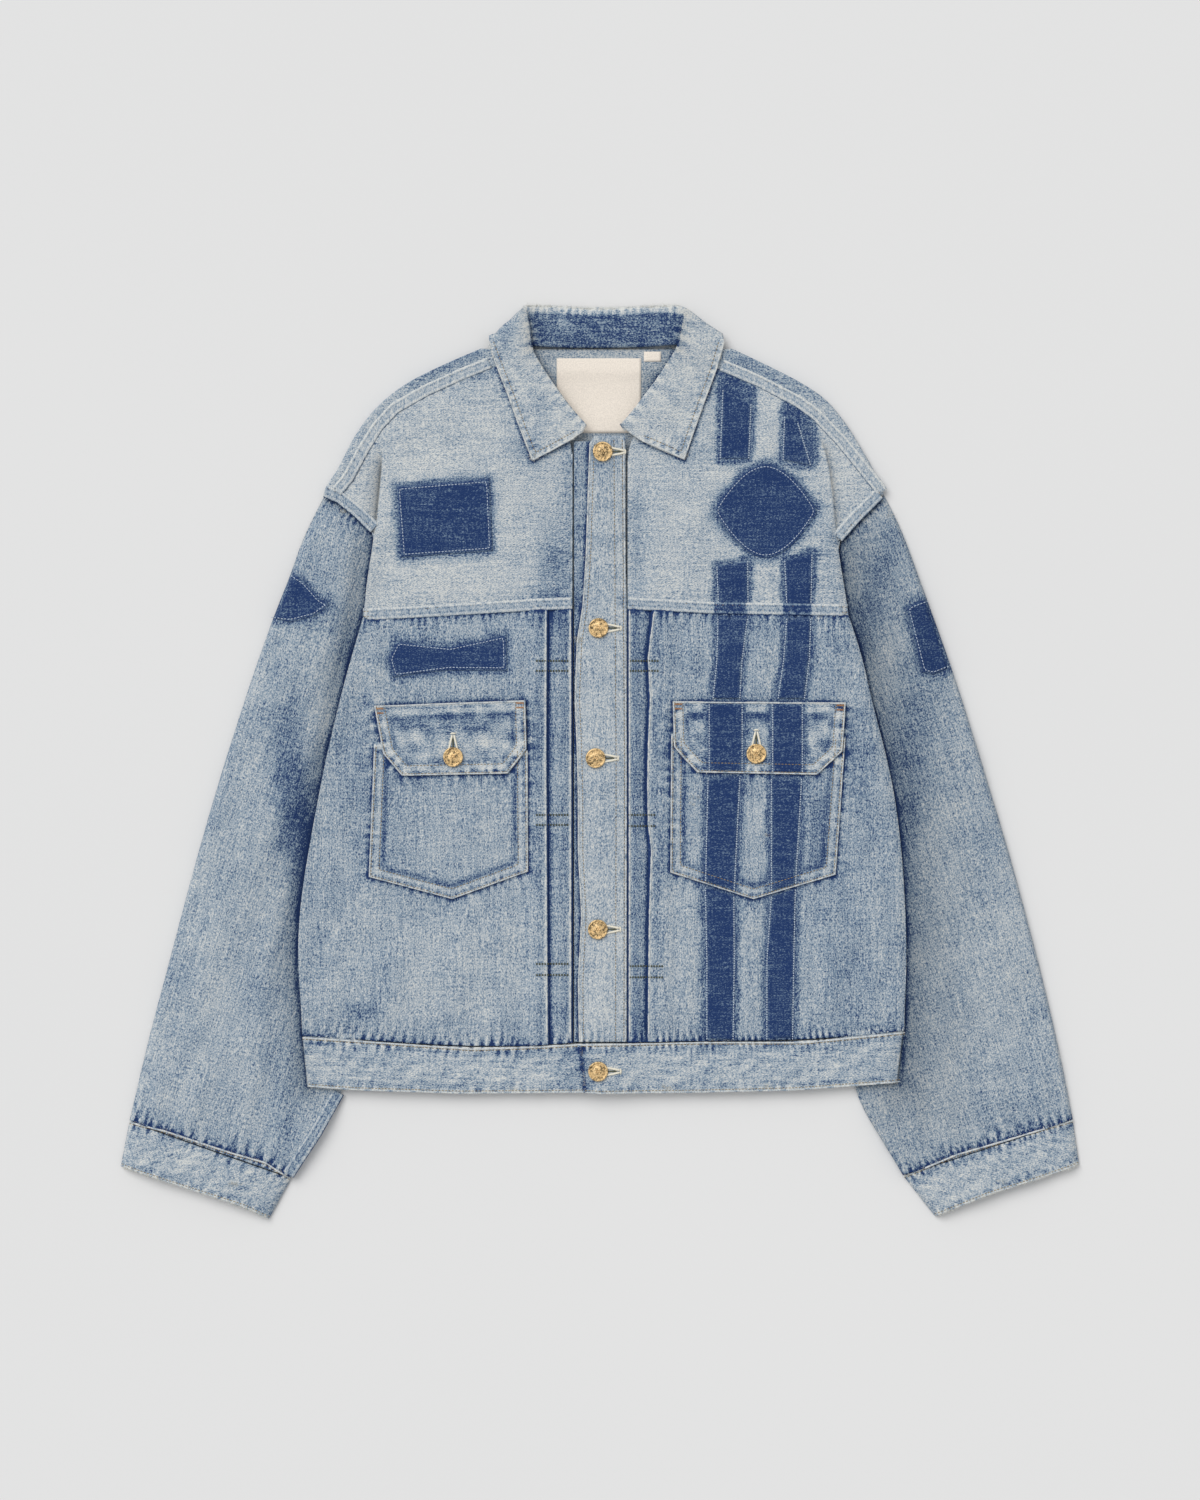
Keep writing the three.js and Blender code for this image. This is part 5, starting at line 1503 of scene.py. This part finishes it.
# Worn nicks, filled with loose threads: middle x, y, width, height.
NICKS = [
    (-12, 181, 5, 9), (-20, 110, 7, 5), (84, -32, 9, 3), (84, -38, 7, 2), (150, -66, 5, 2), (-61, 274, 6, 5),
    (76, 275, 6, 5), (-330, -380, 14, 3), (-196, -294, 7, 4), (-80, -294, 8, 3), (60, -293, 9, 4),
    (150, -292, 7, 3), (236, -289, 9, 4), (360, -378, 10, 4), (262, 222, 9, 5), (-232, 226, 8, 4),
]


class JACKET_OT_frays(bpy.types.Operator):
    """Frays the worn edges and nicks"""
    bl_idname = "jacket.frays"
    bl_label = "Frayed edges"

    def execute(self, context):
        frays = Frays(Surface())
        for line, outward, per_mm, length in FRAYED_EDGES:
            frays.edge(line, outward, per_mm, length)
        for x, y, width, height in NICKS:
            for _ in range(int(width * height * 1.4)):
                left = x + frays.rng.uniform(-width, width) / 2
                level = y + frays.rng.uniform(-height, height) / 2
                frays.edge([(left, level), (left + 1.2, level)], 1, 1.2, 3.0, spread=0.8)
        frays.finish("frayed_threads", "thread_white", "label_cloth")
        return {"FINISHED"}


class JACKET_OT_buttons(bpy.types.Operator):
    """Turns one shank button and copies it to each place"""
    bl_idname = "jacket.buttons"
    bl_label = "Buttons"

    # The head's steps, from its rim inwards: inset and rise in millimetres.
    STEPS = ((0.5, 0.45), (0.9, 0.0), (0.45, -0.7), (2.2, 0.15), (0.3, 0.3), (1.9, 0.25))
    # Rings of beads: ring radius, number, bead radius and height in millimetres.
    BEADS = ((5.5, 18, 0.62, 1.65), (2.0, 6, 0.95, 2.35), (0.0, 1, 0.9, 2.55))

    def execute(self, context):
        surface = Surface()
        master = self.turn_button(context)
        places = {f"button_front_{i + 1}": p for i, p in enumerate(FRONT_BUTTONS)}
        places["button_waist"] = WAIST_BUTTON
        for side, p in FLAP_BUTTONS.items():
            places[f"button_flap_{side}"] = p
        for node, (x, y) in places.items():
            mesh = master.data.copy()
            button = link_object(f"head_{node}", mesh)
            ground = max(surface.top(x + dx, y + dy) for dx in (-6, 0, 6) for dy in (-6, 0, 6))
            co = coordinates(mesh)
            co += np.array([x * MM, y * MM, ground + 0.25 * MM])
            mesh.vertices.foreach_set("co", co.ravel())
            mesh.update()
            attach(button, "root")
            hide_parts(node)
        bpy.data.objects.remove(master, do_unlink=True)
        return {"FINISHED"}

    def turn_button(self, context):
        """A domed head with a rolled rim and a ring of beads round a small rosette."""
        head = self.stepped_disc(context)
        parts = [head]
        for ring, count, size, lift in self.BEADS:
            for k in range(count):
                angle = 2 * math.pi * k / count
                place = (ring * MM * math.cos(angle), ring * MM * math.sin(angle), lift * MM)
                bpy.ops.mesh.primitive_uv_sphere_add(segments=8, ring_count=6, radius=size * MM,
                                                     location=place)
                bead = context.object
                bead.scale = (1, 1, 0.6)
                bpy.ops.object.transform_apply(location=True, rotation=True, scale=True)
                parts.append(bead)
        bpy.ops.object.select_all(action="DESELECT")
        for part in parts:
            part.select_set(True)
        context.view_layer.objects.active = head
        bpy.ops.object.join()
        bpy.ops.object.shade_smooth_by_angle(angle=math.radians(40))
        head.data.materials.clear()
        head.data.materials.append(bpy.data.materials["antique_brass"])
        return head

    def stepped_disc(self, context):
        """The head without its beads: a disc whose top is inset and raised step by step."""
        radius = context.scene.jacket_sizes.button_radius
        bpy.ops.object.select_all(action="DESELECT")
        bpy.ops.mesh.primitive_cylinder_add(vertices=40, radius=radius, depth=1.6 * MM,
                                            location=(0, 0, 1.0 * MM))
        head = context.object
        bpy.ops.object.mode_set(mode="EDIT")
        bpy.ops.mesh.select_mode(type="FACE")
        bpy.ops.mesh.select_all(action="DESELECT")
        bm = bmesh.from_edit_mesh(head.data)
        for face in bm.faces:
            face.select_set(face.normal.z > 0.9)
        bmesh.update_edit_mesh(head.data)
        for inset, move in self.STEPS:
            bpy.ops.mesh.inset(thickness=inset * MM)
            if move:
                bpy.ops.transform.translate(value=(0, 0, move * MM))
        bpy.ops.object.mode_set(mode="OBJECT")
        bpy.ops.object.transform_apply(location=True, rotation=True, scale=True)
        apply_modifier(head, "BEVEL", width=0.22 * MM, segments=2, limit_method="ANGLE",
                       angle_limit=math.radians(30))
        return head


FOCAL_LENGTH = 85
SENSOR_WIDTH = 36
VIEW_WIDTH = 1.350                     # metres across the picture's long side, at the jacket
AIM = (0, 10.35 * MM, 8 * MM)          # the place that the camera looks straight down at


class JACKET_OT_stage(bpy.types.Operator):
    """Lays the floor and sets the camera and lights"""
    bl_idname = "jacket.stage"
    bl_label = "Floor, camera and lights"

    def execute(self, context):
        scene = context.scene
        self.lay_floor(context, tuple(scene.jacket_colours.floor))
        self.set_camera(scene)
        self.set_lights(scene)
        scene.view_settings.view_transform = "Standard"
        return {"FINISHED"}

    def lay_floor(self, context, tone):
        """A wide pale plane just under the jacket."""
        bpy.ops.object.select_all(action="DESELECT")
        bpy.ops.mesh.primitive_plane_add(size=14, location=(0, 0, -0.2 * MM))
        floor = context.object
        floor.name = "floor"
        s = Shader("floor_paint")
        haze = s.noise(s.place((1.2, 1.2, 1.2)), detail=2.0)
        stops = [(0.3, tuple(c * 0.985 for c in tone)), (0.7, tone)]
        s.links.new(s.ramp(haze, stops), s.surface.inputs["Base Color"])
        s.surface.inputs["Roughness"].default_value = 0.95
        s.surface.inputs["Specular IOR Level"].default_value = 0.1
        floor.data.materials.append(s.material)

    def set_camera(self, scene):
        """A long lens straight above the jacket."""
        camera = link_object("camera", bpy.data.cameras.new("camera"))
        camera.data.lens = FOCAL_LENGTH
        camera.data.sensor_width = SENSOR_WIDTH
        camera.location = (AIM[0], AIM[1], VIEW_WIDTH * FOCAL_LENGTH / SENSOR_WIDTH + AIM[2])
        camera.data.clip_end = 50
        scene.camera = camera

    def set_lights(self, scene):
        """A pale even sky, and a broad soft sun from the upper left."""
        world = bpy.data.worlds.new("studio")
        world.use_nodes = True
        sky = world.node_tree.nodes["Background"].inputs
        sky["Color"].default_value = (0.97, 0.985, 1.0, 1)
        sky["Strength"].default_value = 0.58
        scene.world = world
        sun = link_object("window", bpy.data.lights.new("window", "SUN"))
        sun.data.energy = 1.82
        sun.data.angle = math.radians(45)
        sun.data.color = (1.0, 0.99, 0.97)
        sun.rotation_euler = (math.radians(-30), math.radians(-27), 0)


class JACKET_PT_panel(bpy.types.Panel):
    """Lists the jacket's settings and steps"""
    bl_idname = "JACKET_PT_panel"
    bl_label = "Jacket"
    bl_space_type = "VIEW_3D"
    bl_region_type = "UI"
    bl_category = "Jacket"

    def draw(self, context):
        for group in (context.scene.jacket_sizes, context.scene.jacket_colours):
            box = self.layout.box()
            for name in group.bl_rna.properties.keys():
                if name not in ("rna_type", "name"):
                    box.prop(group, name)
        for step in STEPS:
            self.layout.operator(step.bl_idname)


STEPS = [JACKET_OT_stage, JACKET_OT_materials, JACKET_OT_cloth, JACKET_OT_seams, JACKET_OT_stitching,
         JACKET_OT_frays, JACKET_OT_buttons]
CLASSES = [JacketSizes, JacketColours, *STEPS, JACKET_PT_panel]


def register():
    for cls in CLASSES:
        bpy.utils.register_class(cls)
    bpy.types.Scene.jacket_sizes = bpy.props.PointerProperty(type=JacketSizes)
    bpy.types.Scene.jacket_colours = bpy.props.PointerProperty(type=JacketColours)


def unregister():
    del bpy.types.Scene.jacket_colours
    del bpy.types.Scene.jacket_sizes
    for cls in reversed(CLASSES):
        bpy.utils.unregister_class(cls)


def main():
    register()
    bpy.ops.jacket.stage()
    bpy.ops.jacket.materials()
    bpy.ops.jacket.cloth()
    bpy.ops.jacket.seams()
    bpy.ops.jacket.stitching()
    bpy.ops.jacket.frays()
    bpy.ops.jacket.buttons()


if __name__ == "__main__":
    main()
